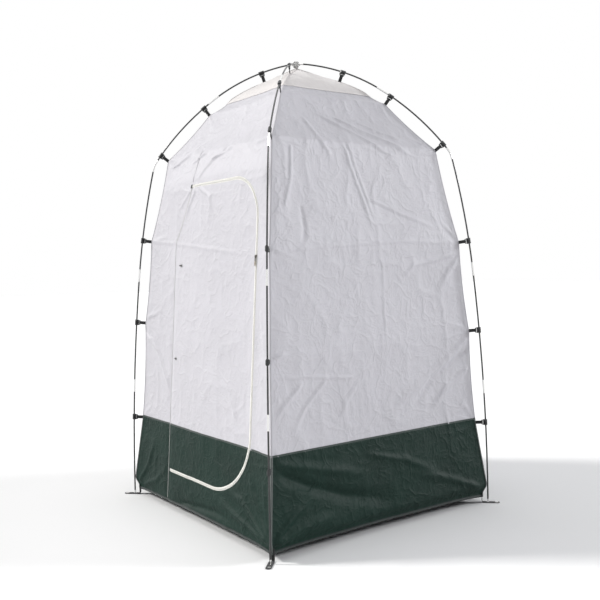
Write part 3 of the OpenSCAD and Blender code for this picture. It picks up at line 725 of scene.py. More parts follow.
def two_colours(tree, shader, mask, a, b):
    """Base colour that runs from a to b with the mask."""
    mix = tree.nodes.new("ShaderNodeMix")
    mix.data_type = "RGBA"
    mix.inputs["A"].default_value = (*a, 1)
    mix.inputs["B"].default_value = (*b, 1)
    tree.links.new(mask, mix.inputs["Factor"])
    tree.links.new(mix.outputs["Result"], shader.inputs["Base Color"])


def spread_of(tree, value, low, high, to_low, to_high):
    node = tree.nodes.new("ShaderNodeMapRange")
    tree.links.new(value, node.inputs["Value"])
    for label, number in (("From Min", low), ("From Max", high), ("To Min", to_low), ("To Max", to_high)):
        node.inputs[label].default_value = number
    return node.outputs["Result"]


def bump(tree, shader, height, distance, strength=1.0, under=None):
    node = tree.nodes.new("ShaderNodeBump")
    node.inputs["Distance"].default_value = distance
    node.inputs["Strength"].default_value = strength
    tree.links.new(height, node.inputs["Height"])
    if under is not None:
        tree.links.new(under, node.inputs["Normal"])
    tree.links.new(node.outputs[0], shader.inputs["Normal"])
    return node.outputs[0]


def shade(colour, factor):
    return tuple(min(1.0, c * factor) for c in colour)


def cloth_finish(name, colour, roughness, crease, sheen, threads=900, dark=0.975, light=1.015, **settings):
    material, tree, shader = start_finish(name, roughness, Sheen_Weight=sheen, Sheen_Roughness=0.4, **settings)
    crumple = place(tree, "crumple", Scale=9.0, Fine=0.3)
    weave = place(tree, "weave", Threads_per_metre=threads)
    two_colours(
        tree,
        shader,
        spread_of(tree, crumple.outputs["Patches"], 0.35, 0.65, 0, 1),
        shade(colour, dark),
        shade(colour, light),
    )
    tree.links.new(
        spread_of(tree, crumple.outputs["Patches"], 0.3, 0.7, roughness - 0.06, roughness + 0.06),
        shader.inputs["Roughness"],
    )
    under = bump(tree, shader, crumple.outputs["Height"], crease)
    bump(tree, shader, weave.outputs["Height"], 0.00012, 0.5, under)
    return material


def hard_finish(
    name, colour, roughness, metallic=0.0, scale=900, stretch=1.0, depth=0.00004, worn=1.25, **settings
):
    material, tree, shader = start_finish(name, roughness, metallic, **settings)
    grain = place(tree, "grain", Scale=scale, Stretch=stretch)
    two_colours(
        tree, shader, spread_of(tree, grain.outputs["Marks"], 0.45, 0.7, 0, 1), colour, shade(colour, worn)
    )
    tree.links.new(
        spread_of(tree, grain.outputs["Marks"], 0.3, 0.7, roughness * 0.8, min(1, roughness * 1.25)),
        shader.inputs["Roughness"],
    )
    bump(tree, shader, grain.outputs["Height"], depth)
    return material


def tape_finish(name, colour, thread, roughness=0.8, ribs=700, half=0.0075, stitch=0.004):
    material, tree, shader = start_finish(name, roughness, Sheen_Weight=0.15)
    webbing = place(tree, "webbing", Ribs_per_metre=ribs, Half_width=half, Stitch=stitch)
    crumple = place(tree, "crumple", Scale=30.0, Fine=0.5)
    two_colours(tree, shader, webbing.outputs["Thread"], colour, thread)
    tree.links.new(
        spread_of(tree, crumple.outputs["Patches"], 0.3, 0.7, roughness - 0.1, roughness + 0.1),
        shader.inputs["Roughness"],
    )
    bump(tree, shader, webbing.outputs["Height"], 0.00025)
    return material


def finish(name):
    """A finish by name, made the first time it is used from the colours in the panel."""
    if name in _finishes:
        return _finishes[name]
    c = bpy.context.scene.tent_colours
    makers = {
        "white cloth": lambda: cloth_finish(name, c.walls, 0.55, 0.0013, 0.05),
        "green cloth": lambda: cloth_finish(
            name, c.skirt, 0.55, 0.0018, 0.0, dark=0.88, light=1.10, Specular_IOR_Level=0.15
        ),
        "roof cloth": lambda: cloth_finish(name, c.cap, 0.65, 0.0008, 0.2, threads=600),
        "dark binding": lambda: tape_finish(name, (0.012, 0.020, 0.018), (0.05, 0.07, 0.065), half=0.006),
        "white seam": lambda: tape_finish(name, shade(c.walls, 0.97), shade(c.walls, 0.8), 0.6, half=0.0045),
        "green seam": lambda: tape_finish(name, shade(c.skirt, 0.9), shade(c.skirt, 1.8), 0.5, half=0.004),
        "cap hem": lambda: tape_finish(name, shade(c.cap, 1.08), shade(c.cap, 0.85), 0.65, half=0.0075),
        "grey binding": lambda: tape_finish(name, (0.10, 0.115, 0.11), (0.18, 0.19, 0.19), half=0.005),
        "grey tape": lambda: tape_finish(name, (0.50, 0.50, 0.49), (0.4, 0.4, 0.39), half=0.005),
        "black webbing": lambda: tape_finish(name, (0.016, 0.017, 0.018), (0.03, 0.031, 0.033)),
        "foot webbing": lambda: tape_finish(name, (0.016, 0.017, 0.018), (0.03, 0.031, 0.033), half=0.011),
        "zip tape": lambda: tape_finish(name, (0.86, 0.85, 0.80), (0.8, 0.79, 0.74), 0.7, half=0.006),
        "tan tape": lambda: tape_finish(name, (0.42, 0.35, 0.25), (0.3, 0.25, 0.18), half=0.0018),
        "elastic": lambda: tape_finish(name, (0.35, 0.35, 0.35), (0.2, 0.2, 0.2), half=0.007),
        "shock cord": lambda: tape_finish(name, (0.80, 0.80, 0.79), (0.6, 0.6, 0.6)),
        "black fibreglass": lambda: hard_finish(
            name, (0.016, 0.017, 0.018), 0.28, stretch=0.05, depth=0.00002, Coat_Weight=0.3
        ),
        "bright steel": lambda: hard_finish(name, (0.72, 0.72, 0.71), 0.25, 1.0, 500, 0.1, worn=1.1),
        "clip plastic": lambda: hard_finish(name, (0.014, 0.015, 0.016), 0.42, worn=1.5),
        "zip coil": lambda: hard_finish(name, (0.92, 0.91, 0.87), 0.35, worn=1.03),
        "zip metal": lambda: hard_finish(name, (0.20, 0.195, 0.18), 0.38, 0.7, worn=1.4),
        "toggle plastic": lambda: hard_finish(name, (0.045, 0.045, 0.045), 0.45, worn=1.4),
    }
    _finishes[name] = makers[name]()
    return _finishes[name]


def paint(names, finish_name):
    """Gives CAD nodes a finish."""
    for name in names:
        node = NODES[name]
        if not node.material_slots:
            node.data.materials.append(None)
        for slot in node.material_slots:
            slot.material = finish(finish_name)


# Pieces


def tube(parts, path, widths, flat, sides=8, cap=True):
    """Adds a closed strip or cord along a path. widths are its half size along flat and through it."""
    path = np.asarray(path, float)
    tangent = np.gradient(path, axis=0)
    tangent /= np.maximum(np.linalg.norm(tangent, axis=1, keepdims=True), 1e-9)
    across = np.tile(np.array(flat, float), (len(path), 1))
    across -= tangent * (across * tangent).sum(1, keepdims=True)
    across /= np.maximum(np.linalg.norm(across, axis=1, keepdims=True), 1e-9)
    through = np.cross(tangent, across)
    a = np.linspace(0, 2 * np.pi, sides, endpoint=False) + np.pi / sides
    wide = np.sign(np.cos(a)) * np.abs(np.cos(a)) ** 0.5 * widths[0]
    deep = np.sign(np.sin(a)) * np.abs(np.sin(a)) ** 0.5 * widths[1]
    points = (
        path[:, None]
        + across[:, None] * wide[None, :, None]
        + through[:, None] * deep[None, :, None]
    )
    along = np.concatenate([[0], np.cumsum(np.linalg.norm(np.diff(path, axis=0), axis=1))])
    uv = np.stack(np.broadcast_arrays(along[:, None], wide[None, :]), -1).reshape(-1, 2)
    base = sum(len(p) for p in parts.points)
    parts.grid(points, uv, closed=True)
    if cap:
        n = len(path)
        parts.faces.append(tuple(base + k for k in range(sides))[::-1])
        parts.faces.append(tuple(base + (n - 1) * sides + k for k in range(sides)))


def arc(centre, radius, start, end, steps):
    """Points round a centre in a plane, angles in degrees."""
    a = np.radians(np.linspace(start, end, steps))
    return np.stack([centre[0] + radius * np.cos(a), centre[1] + radius * np.sin(a)], -1)


def leg_axes(leg):
    turn = LEG_TURNS[leg]
    out = np.array([math.cos(turn), math.sin(turn), 0])
    return out, np.array([-math.sin(turn), math.cos(turn), 0])


def corner_ribbon(parts, side, v_values, width, stand):
    """A strip folded round the corner between a side and the next one."""
    other = (side + 1) % 4
    v = np.asarray(v_values, float)
    half, _ = nominal(v)
    rows = []
    for share in (1.0, 0.5):
        rows.append(cloth(side, half - width * share, v, stand))
    a = cloth(side, half, v, stand * 1.2)
    b = cloth(other, -half, v, stand * 1.2)
    rows.append((a + b) / 2)
    for share in (0.5, 1.0):
        rows.append(cloth(other, -half + width * share, v, stand))
    points = np.stack(rows, 1)
    across = np.array([-1, -0.5, 0, 0.5, 1]) * width
    uv = np.stack(np.broadcast_arrays(v[:, None], across[None, :]), -1)
    parts.grid(points, uv.reshape(-1, 2))


def level_ribbon(parts, side, v, stand, count=90, low=None, high=None):
    """A strip along a side at the heights v, which may wrap round an edge: one v and one stand per row."""
    rows = []
    for height, out in zip(v, stand):
        half = float(nominal(height)[0])
        y = np.linspace(-half if low is None else low, half if high is None else high, count)
        rows.append(cloth(side, y, np.full(count, height), out))
    points = np.stack(rows, 0)
    along = np.linspace(0, 2 * half, count)
    across = np.linspace(-0.5, 0.5, len(rows)) * (max(v) - min(v) + 0.001)
    uv = np.stack(np.broadcast_arrays(along[None, :], across[:, None]), -1)
    parts.grid(points, uv.reshape(-1, 2))


def flat_front(x, y, v):
    """A point in the flat frame of the front wall: x out of it, y along it and v up it."""
    out, along = side_axes(FRONT)
    depth = HEM_R / math.sqrt(2) + x * math.cos(LEAN) - v * math.sin(LEAN)
    return out * depth + along * y + np.array([0, 0, HEM_Z + x * math.sin(LEAN) + v * math.cos(LEAN)])


SKIRT_ROWS = np.linspace(0, SKIRT_V, 60)
# Heights of the seam that joins the skirt to the white cloth, a lap 8 mm wide.
SEAM_V = (SKIRT_V - 0.001, SKIRT_V + 0.003, SKIRT_V + 0.007)
WALL_ROWS = np.linspace(SKIRT_V, WALL_TOP_V, 176)
EAVES_ROWS = np.linspace(WALL_TOP_V, CAP_EDGE_V + 0.012, 84)
CAP_ROWS = np.concatenate([np.linspace(CAP_EDGE_V, APEX_V - 0.03, 34), [APEX_V - 0.015, APEX_V - 0.003]])
COLUMNS = 160
_front = {}


def front():
    """The front side's patches, made once."""
    if not _front:
        rows = np.concatenate([SKIRT_ROWS, WALL_ROWS[1:]])
        _front["points"], _front["cuts"] = front_patches(rows, COLUMNS)
    return _front


def panel(low, high):
    """Flat area, greatest width and length of one side's cut between two heights."""
    half, z = nominal(np.linspace(low, high, 2000))
    steps = np.hypot(np.diff(half), np.diff(z))
    return float(((half[1:] + half[:-1]) * steps).sum()), float(2 * half.max()), float(steps.sum())


def cut_area(name):
    """Flat area of one of the front side's cuts."""
    points, triangles = front()["points"], front()["cuts"][name]
    a, b, c = (points[triangles[:, k]] for k in range(3))
    cross = (b[:, 0] - a[:, 0]) * (c[:, 1] - a[:, 1]) - (b[:, 1] - a[:, 1]) * (c[:, 0] - a[:, 0])
    return float(np.abs(cross).sum() / 2)


def add_cut(parts, name, stand=0.0):
    points, triangles = used_only(front()["points"], front()["cuts"][name])
    parts.add(cloth(FRONT, points[:, 0], points[:, 1], stand), triangles, points)


def hang_on_hinge(piece):
    """Bakes the placement of the door's cloth and zip pieces into their points."""
    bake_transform(piece)


class TENT_OT_frame(bpy.types.Operator):
    """Give the poles, ferrules, hooks and other hard parts their finishes"""

    bl_idname = "tent.frame"
    bl_label = "Frame finishes"

    def execute(self, context):
        legs = ("front_left", "front_right", "back_right", "back_left")
        tubes = [f"leg_poles_{leg}" for leg in legs] + ["arch_poles_upper", "arch_poles_lower"]
        paint(tubes, "black fibreglass")
        steel = ["ferrules_upper", "ferrules_lower", "elbows_upper", "elbows_lower"]
        steel += ["crossing_ferrule_upper", "crossing_ferrule_lower", "pole_tips", "pin_eyelets", "peg_eyelets"]
        paint(steel, "bright steel")
        paint(["shock_cord_upper", "shock_cord_lower"], "shock cord")
        paint([f"clip_hooks_{leg}" for leg in legs], "clip plastic")
        paint(["zip_slider", "zip_pull"], "zip metal")
        paint(["toggle_upper", "toggle_lower"], "toggle plastic")
        return {"FINISHED"}


class TENT_OT_canopy(bpy.types.Operator):
    """Make the white walls and eaves as one sheet, cut away for the door"""

    bl_idname = "tent.canopy"
    bl_label = "White canopy"

    def execute(self, context):
        parts = Parts()
        for side in (RIGHT, BACK, LEFT):
            side_grid(parts, side, WALL_ROWS, COLUMNS)
            side_grid(parts, side, EAVES_ROWS, COLUMNS)
        add_cut(parts, "wall_white")
        side_grid(parts, FRONT, EAVES_ROWS, COLUMNS)
        piece = parts.make("canopy_cloth", finish("white cloth"), "white_cloth", weld=0.0008)
        nodes = ["eaves", "wall_back", "wall_left", "wall_right", "wall_front_left", "wall_front_right"]
        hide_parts(*nodes, "wall_front_top")
        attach(piece, "canopy_frame")
        _, width, length = panel(SKIRT_V, EAVES_ROWS[-1])
        area = 3 * panel(SKIRT_V, WALL_TOP_V)[0] + cut_area("wall_white")
        area += 4 * panel(WALL_TOP_V, EAVES_ROWS[-1])[0]
        return {"FINISHED"}


class TENT_OT_skirt(bpy.types.Operator):
    """Make the green skirt all round, with its seam over the white cloth and its bound hem"""

    bl_idname = "tent.skirt"
    bl_label = "Green skirt"

    def execute(self, context):
        parts = Parts()
        for side in (RIGHT, BACK, LEFT):
            side_grid(parts, side, SKIRT_ROWS, COLUMNS)
        add_cut(parts, "wall_green")
        piece = parts.make("skirt_cloth", finish("green cloth"), "green_cloth", weld=0.0008)
        nodes = ["skirt_back", "skirt_left", "skirt_right", "skirt_front_left", "skirt_front_right"]
        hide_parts(*nodes, "skirt_front_sill")
        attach(piece, "canopy_frame")
        area, width, length = panel(0, SKIRT_V)
        area = 3 * area + cut_area("wall_green")
        hem = Parts()
        for side in range(4):
            heights = (0.0125, 0.006, 0.0002, 0.006, 0.0125)
            outs = (0.0008, 0.0014, 0.0, -0.0014, -0.0008)
            level_ribbon(hem, side, heights, outs)
        binding = hem.make("hem_edge", finish("dark binding"), "dark_binding")
        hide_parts("hem_binding")
        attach(binding, "canopy_frame")
        lap, stand = Parts(), (0.0003, 0.0010, 0.0007)
        for side in (RIGHT, BACK, LEFT):
            level_ribbon(lap, side, SEAM_V, stand)
        level_ribbon(lap, FRONT, SEAM_V, stand, 24, None, DOOR_LEFT - 0.004)
        level_ribbon(lap, FRONT, SEAM_V, stand, 16, DOOR_RIGHT + 0.007, None)
        seam = lap.make("skirt_seam", finish("green seam"), "green_cloth")
        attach(seam, "canopy_frame")
        return {"FINISHED"}


class TENT_OT_roof_cap(bpy.types.Operator):
    """Make the roof cap, which laps over the white eaves, with its hem"""

    bl_idname = "tent.roof_cap"
    bl_label = "Roof cap"

    def execute(self, context):
        parts = Parts()
        for side in range(4):
            s = columns(COLUMNS // 2)
            v = np.repeat(CAP_ROWS[:, None], len(s), axis=1)
            y = s[None, :] * nominal(v)[0]
            stand = 0.0016 * (1 - smooth(v, CAP_EDGE_V + 0.01, CAP_EDGE_V + 0.05))
            parts.grid(cloth(side, y, v, stand), np.stack([y, v], -1).reshape(-1, 2))
        piece = parts.make("cap_cloth", finish("roof cloth"), "roof_cloth", weld=0.0012)
        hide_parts("roof_cap")
        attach(piece, "canopy_frame")
        area, width, length = panel(CAP_EDGE_V, CAP_ROWS[-1])
        band = Parts()
        for side in range(4):
            rows = [CAP_EDGE_V + up for up in (-0.0005, 0.001, 0.013, 0.0145)]
            level_ribbon(band, side, rows, (0.0012, 0.0026, 0.0026, 0.0014), 60)
        hem = band.make("cap_hem", finish("cap hem"), "roof_cloth")
        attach(hem, "canopy_frame")
        return {"FINISHED"}


class TENT_OT_corners(bpy.types.Operator):
    """Make the corner seams, the corner bindings of the skirt and the hinge seam's piping"""

    bl_idname = "tent.corners"
    bl_label = "Corner seams"

    def execute(self, context):
        seams, bound, ridge = Parts(), Parts(), Parts()
        for side in range(4):
            corner_ribbon(seams, side, np.linspace(SKIRT_V, CAP_EDGE_V, 190), 0.0045, 0.0009)
            corner_ribbon(bound, side, np.linspace(0.002, SKIRT_V, 60), 0.0065, 0.0012)
            corner_ribbon(ridge, side, np.linspace(CAP_EDGE_V, APEX_V - 0.01, 60), 0.004, 0.0018)
        white = seams.make("corner_seams", finish("white seam"), "white_cloth")
        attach(white, "canopy_frame")
        dark = bound.make("corner_strips", finish("grey binding"), "dark_binding")
        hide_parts("corner_bindings")
        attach(dark, "canopy_frame")
        cap = ridge.make("cap_seams", finish("cap hem"), "roof_cloth")
        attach(cap, "canopy_frame")
        piping = Parts()
        v = np.linspace(0.014, SLANT_V, 160)
        path = cloth(FRONT, np.full(len(v), DOOR_LEFT), v, 0.0002)
        tube(piping, path, (0.0013, 0.0013), flat=(1, 0, 0))
        cord = piping.make("hinge_cord", finish("grey tape"), "grey_tape")
        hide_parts("hinge_piping")
        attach(cord, "canopy_frame")
        above = Parts()
        v = np.linspace(DOOR_HIGH + 0.02, WALL_TOP_V + 0.16, 40)
        path = cloth(FRONT, np.linspace(ZIP_TOP_X, ZIP_TOP_X + 0.004, len(v)), v, 0.0005)
        tube(above, path, (0.0028, 0.0005), flat=(1, 0, 0))
        seam = above.make("upper_seam", finish("white seam"), "white_cloth")
        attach(seam, "canopy_frame")
        return {"FINISHED"}


class TENT_OT_door(bpy.types.Operator):
    """Make the door's white and green cloth, with its skirt seam and its slanted hem"""

    bl_idname = "tent.door"
    bl_label = "Door"

    def execute(self, context):
        for name, cut, node, finish_name, slot, length in (
            ("door_cloth", "door_white", "door_panel", "white cloth", "white_cloth", DOOR_HIGH - SKIRT_V),
            ("door_skirt_cloth", "door_green", "door_skirt", "green cloth", "green_cloth", SKIRT_V - DOOR_LOW),
        ):
            parts = Parts()
            add_cut(parts, cut, 0.0004)
            piece = parts.make(name, finish(finish_name), slot, weld=0.0001)
            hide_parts(node)
            hang_on_hinge(piece)
            cut_area(cut)
        lap, stand = Parts(), (0.0007, 0.0014, 0.0011)
        level_ribbon(lap, FRONT, SEAM_V, stand, 60, DOOR_LEFT + 0.006, DOOR_RIGHT - 0.010)
        seam = lap.make("door_seam", finish("green seam"), "green_cloth")
        hang_on_hinge(seam)
        edge = Parts()
        share = np.linspace(0.01, 0.97, 60)
        y = DOOR_LEFT + (ZIP_TOP_X - DOOR_LEFT) * share + 0.004
        v = SLANT_V + (DOOR_HIGH - SLANT_V) * share
        shifts = np.array([-0.003, 0, 0.003])
        rows = [cloth(FRONT, y + shift, v, stand) for shift, stand in zip(shifts, (0.0006, 0.0016, 0.0008))]
        uv = np.stack(np.broadcast_arrays(share[None, :] * 0.28, shifts[:, None]), -1)
        edge.grid(np.stack(rows, 0), uv.reshape(-1, 2))
        hem = edge.make("door_slant_hem", finish("grey tape"), "white_cloth")
        hang_on_hinge(hem)
        return {"FINISHED"}


def zip_frame(step):
    """The zip's line with the direction away from the door at each point."""
    path = np.array(zip_line(step))
    t = np.gradient(path, axis=0)
    t /= np.linalg.norm(t, axis=1, keepdims=True)
    return path, np.stack([-t[:, 1], t[:, 0]], -1), t


class TENT_OT_zip(bpy.types.Operator):
    """Make the zip's two tapes and its two rows of coil teeth"""

    bl_idname = "tent.zip"
    bl_label = "Zip"

    def execute(self, context):
        sizes = context.scene.tent_sizes
        for end, word in ((1, "wall"), (-1, "door")):
            path, away, _ = zip_frame(0.004)
            parts = Parts()
            across = np.array([0.0014, 0.0030, sizes.zip_tape - 0.0006, sizes.zip_tape])
            stand = np.array([0.0010, 0.0010, 0.0010, 0.0002])
            y = path[:, 0, None] + end * away[:, 0, None] * across
            v = path[:, 1, None] + end * away[:, 1, None] * across
            points = cloth(FRONT, y, v, np.broadcast_to(stand, y.shape))
            along = np.arange(len(path)) * 0.004
            uv = np.stack(np.broadcast_arrays(along[:, None], across[None, :]), -1).reshape(-1, 2)
            parts.grid(points if end < 0 else points[:, ::-1], uv)
            tape = parts.make(f"zip_tape_{word}_side", finish("zip tape"), "zip_tape")
            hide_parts(f"zip_tape_{word}")
            coil = self.teeth(end, sizes.tooth_pitch)
            teeth = coil.make(f"zip_teeth_{word}_side", finish("zip coil"), "zip_coil")
            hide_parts(f"zip_coil_{word}")
            for piece in (tape, teeth):
                if end > 0:
                    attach(piece, "canopy_frame")
                else:
                    hang_on_hinge(piece)
        stop = Parts()
        for centre in ((ZIP_LOW_X + 0.004, DOOR_LOW), (ZIP_TOP_X - 0.003, DOOR_HIGH)):
            y = np.linspace(centre[0] - 0.005, centre[0] + 0.005, 6)
            profile = ((-0.0085, 0.0012), (-0.006, 0.0034), (0.006, 0.0034), (0.0085, 0.0012))
            rows = [cloth(FRONT, y, np.full(6, centre[1] + up), stand) for up, stand in profile]
            stop.grid(np.stack(rows, 0))
        tab = stop.make("zip_end_tabs", finish("dark binding"), "dark_binding")
        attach(tab, "canopy_frame")
        return {"FINISHED"}

    def teeth(self, end, pitch):
        """Rounded teeth that reach just past the middle, every second one from this side."""
        path, away, along = zip_frame(pitch / 2)
        first = 1 if end > 0 else 2
        path, away, along = path[first:-2:2], away[first:-2:2], along[first:-2:2]
        a = np.linspace(0, 2 * np.pi, 6, endpoint=False)
        ring_across = np.array([0.0034, 0.0024, 0.0002, -0.0009]) * end
        ring_size = np.array([0.6, 1.0, 1.0, 0.62])
        x = path[:, 0, None, None] + away[:, 0, None, None] * ring_across[None, :, None]
        v = path[:, 1, None, None] + away[:, 1, None, None] * ring_across[None, :, None]
        shift = np.cos(a)[None, None, :] * 0.00062 * ring_size[None, :, None]
        x = x + along[:, 0, None, None] * shift
        v = v + along[:, 1, None, None] * shift
        stand = 0.0019 + np.sin(a)[None, None, :] * 0.0009 * ring_size[None, :, None] + 0 * x
        points = cloth(FRONT, x, v, stand)
        parts = Parts()
        count = points.shape[0]
        faces = []
        for ring in range(3):
            for k in range(6):
                m = (k + 1) % 6
                quad = (ring * 6 + k, ring * 6 + m, ring * 6 + 6 + m, ring * 6 + 6 + k)
                faces.append(quad if end < 0 else quad[::-1])
        caps = [tuple(range(6)), tuple(range(23, 17, -1))]
        faces += [c[::-1] if end < 0 else c for c in caps]
        every = []
        for n in range(count):
            every += [tuple(n * 24 + i for i in f) for f in faces]
        parts.add(points.reshape(-1, 3), every)
        return parts


class TENT_OT_straps(bpy.types.Operator):
    """Make the webbing straps that join each hook to the canopy's corner"""

    bl_idname = "tent.straps"
    bl_label = "Clip straps"

    def execute(self, context):
        legs = ("front_left", "front_right", "back_right", "back_left")
        bar_x, wrap = -0.0155, 0.0026
        for leg, word in enumerate(legs):
            parts = Parts()
            out, side = leg_axes(leg)
            for k, u in enumerate(CLIPS[leg]):
                r, z, a = (float(x) for x in pole_at(u, 0))
                centre = out * r + np.array([0, 0, z - leg_drop(leg)])
                x_axis = out * math.cos(a) + np.array([0, 0, math.sin(a)])
                up = -out * math.sin(a) + np.array([0, 0, math.cos(a)])
                reach = CANOPY_GAP - leg_drop(leg) * math.sin(a) if k < 3 else CANOPY_GAP
                tail = -(reach + 0.006)
                line = [(tail, 0.0007), (bar_x - 0.006, 0.0008), (bar_x - 0.0035, 0.0012)]
                line += [tuple(p) for p in arc((bar_x, 0), wrap, 130, -130, 12)]
                line += [(bar_x - 0.0035, -0.0012), (bar_x - 0.006, -0.0008), (tail, -0.0007)]
                path = np.array([centre + x_axis * p[0] + side * p[1] for p in line])
                tube(parts, path, (0.0075, 0.00058), flat=up)
            piece = parts.make(f"webbing_{word}", finish("black webbing"), "black_webbing")
            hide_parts(f"clip_straps_{word}")
            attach(piece, "canopy_frame")
        return {"FINISHED"}


def holed_plate(parts, outline, holes, z0, z1, place_point):
    """Adds a flat plate with round holes between two heights."""
    loops = [outline] + [
        [(x + r * math.cos(t), y + r * math.sin(t)) for t in np.linspace(0, 2 * math.pi, 28, endpoint=False)]
        for x, y, r in holes
    ]
    flat, edges = [], []
    for loop in loops:
        base = len(flat)
        flat += loop
        edges += [(base + k, base + (k + 1) % len(loop)) for k in range(len(loop))]
    points, _, triangles, *_ = delaunay_2d_cdt([Vector(p) for p in flat], edges, [], 0, 1e-6)
    points = np.array([tuple(p) for p in points])
    triangles = np.array([tuple(t) for t in triangles])
    middle = points[triangles].mean(1)
    keep = inside(middle, outline)
    for x, y, r in holes:
        keep &= np.hypot(middle[:, 0] - x, middle[:, 1] - y) > r * 0.98
    n = len(points)
    both = np.concatenate([np.column_stack([points, np.full(n, z)]) for z in (z0, z1)])
    faces = [tuple(t[::-1]) for t in triangles[keep]] + [tuple(t + n) for t in triangles[keep]]
    for a, b in edges:
        faces.append((a, b, b + n, a + n))
    both = np.array([place_point(*p) for p in both])
    uv = np.concatenate([points, points])
    parts.add(both, faces, uv)


class TENT_OT_feet(bpy.types.Operator):
    """Make the foot webbing from each corner of the hem to the eyelets on the ground"""

    bl_idname = "tent.feet"
    bl_label = "Foot straps"

    def execute(self, context):
        pin_at = float(pole_at(ARC_STARTS[-1] + ARC_LENGTHS[-1])[0])
        peg_at, end = pin_at + 0.038, pin_at + 0.052
        hem_corner = HEM_R - 0.026 * SLOPE + 0.006
        base, half = hem_corner + 0.006, 0.011
        parts = Parts()
        for leg in range(4):
            out, side = leg_axes(leg)

            def place_point(x, y, z, out=out, side=side):
                return out * x + side * y + np.array([0, 0, z])

            tip = [(end - 0.008 + px, py) for px, py in arc((0, 0), 0.008, -90, 90, 7) * [1, half / 0.008]]
            outline = [(base, -half)] + tip + [(base, half)]
            holes = [(pin_at, 0, 0.0037), (peg_at, 0, 0.0055)]
            holed_plate(parts, outline, holes, 0.0007, 0.0026, place_point)
            turn = [
                (hem_corner - 0.0012, HEM_Z + 0.024),
                (hem_corner - 0.0022, 0.020),
                (hem_corner - 0.0024, 0.010),
            ]
            turn += [(hem_corner - 0.0012, 0.0042), (hem_corner + 0.002, 0.0020), (base + 0.001, 0.0016)]
            path = np.array([place_point(x, 0, z) for x, z in turn])
            tube(parts, path, (half, 0.0009), flat=side)
        piece = parts.make("foot_webbing", finish("foot webbing"), "black_webbing", smooth_faces=False)
        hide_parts("foot_straps")
        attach(piece, "canopy_frame")
        return {"FINISHED"}


class TENT_OT_apex(bpy.types.Operator):
    """Make the tape that ties the roof to the crossing, its knot, and the bag loop under the roof"""

    bl_idname = "tent.apex"
    bl_label = "Top tie and bag loop"

    def execute(self, context):
        parts = Parts()
        low = CROSSING_HEIGHT - CANOPY_GAP + CAP_PEAK - 0.002
        top = CROSSING_HEIGHT + 0.0066
        rise = top - low
        bulge = ((0.006, 0.12), (0.0115, 0.3), (0.0125, 0.7))
        side = [(0.001, low)] + [(-x, low + rise * up) for x, up in bulge]
        for y, lean in ((-0.004, 0.0015), (0.004, -0.0015)):
            line = side + [(-0.009, top - 0.001), (0, top + 0.0006), (0.009, top - 0.001)]
            line += [(-x, z) for x, z in reversed(side)]
            path = [(x, y + lean * math.sin(i), z) for i, (x, z) in enumerate(line)]
            tube(parts, path, (0.0036, 0.0006), flat=(0, 1, 0))
        turns = np.linspace(0, 2 * math.pi, 40)
        knot = np.stack(
            [
                0.0052 * np.sin(turns) + 0.003 * np.sin(2 * turns),
                0.0052 * np.cos(turns) - 0.003 * np.cos(2 * turns),
                top + 0.0010 - 0.0012 * np.sin(3 * turns),
            ],
            -1,
        )
        tube(parts, knot, (0.0019, 0.0010), flat=(0, 0, 1), cap=False)
        for sign in (-1, 1):
            tail = [(0.002 * sign, 0.004 * sign, top + 0.001), (0.006 * sign, 0.009 * sign, top)]
            tail += [(0.010 * sign, 0.012 * sign, top - 0.006), (0.012 * sign, 0.012 * sign, top - 0.016)]
            tube(parts, tail, (0.003, 0.0005), flat=(1, 0, 0))
        tie = parts.make("top_tie", finish("grey tape"), "grey_tape")
        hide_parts("apex_tie")
        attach(tie, "canopy_frame")
        loop = Parts()
        high = CROSSING_HEIGHT - CANOPY_GAP + CAP_PEAK * 0.7
        bottom = CROSSING_HEIGHT - CANOPY_GAP - 0.053
        half = 0.0139
        line = [(0, high), (half - 0.002, high), (half, high - 0.002)]
        line += [tuple(p) for p in arc((0, bottom + half), half, 0, -180, 16)]
        line += [(-half, high - 0.002), (-half + 0.002, high), (0, high)]
        path = [(x, 0, z) for x, z in line]
        tube(loop, path, (0.0075, 0.0008), flat=(0, 1, 0))
        bag = loop.make("bag_webbing", finish("black webbing"), "black_webbing")
        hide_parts("bag_loop")
        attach(bag, "canopy_frame")
        return {"FINISHED"}


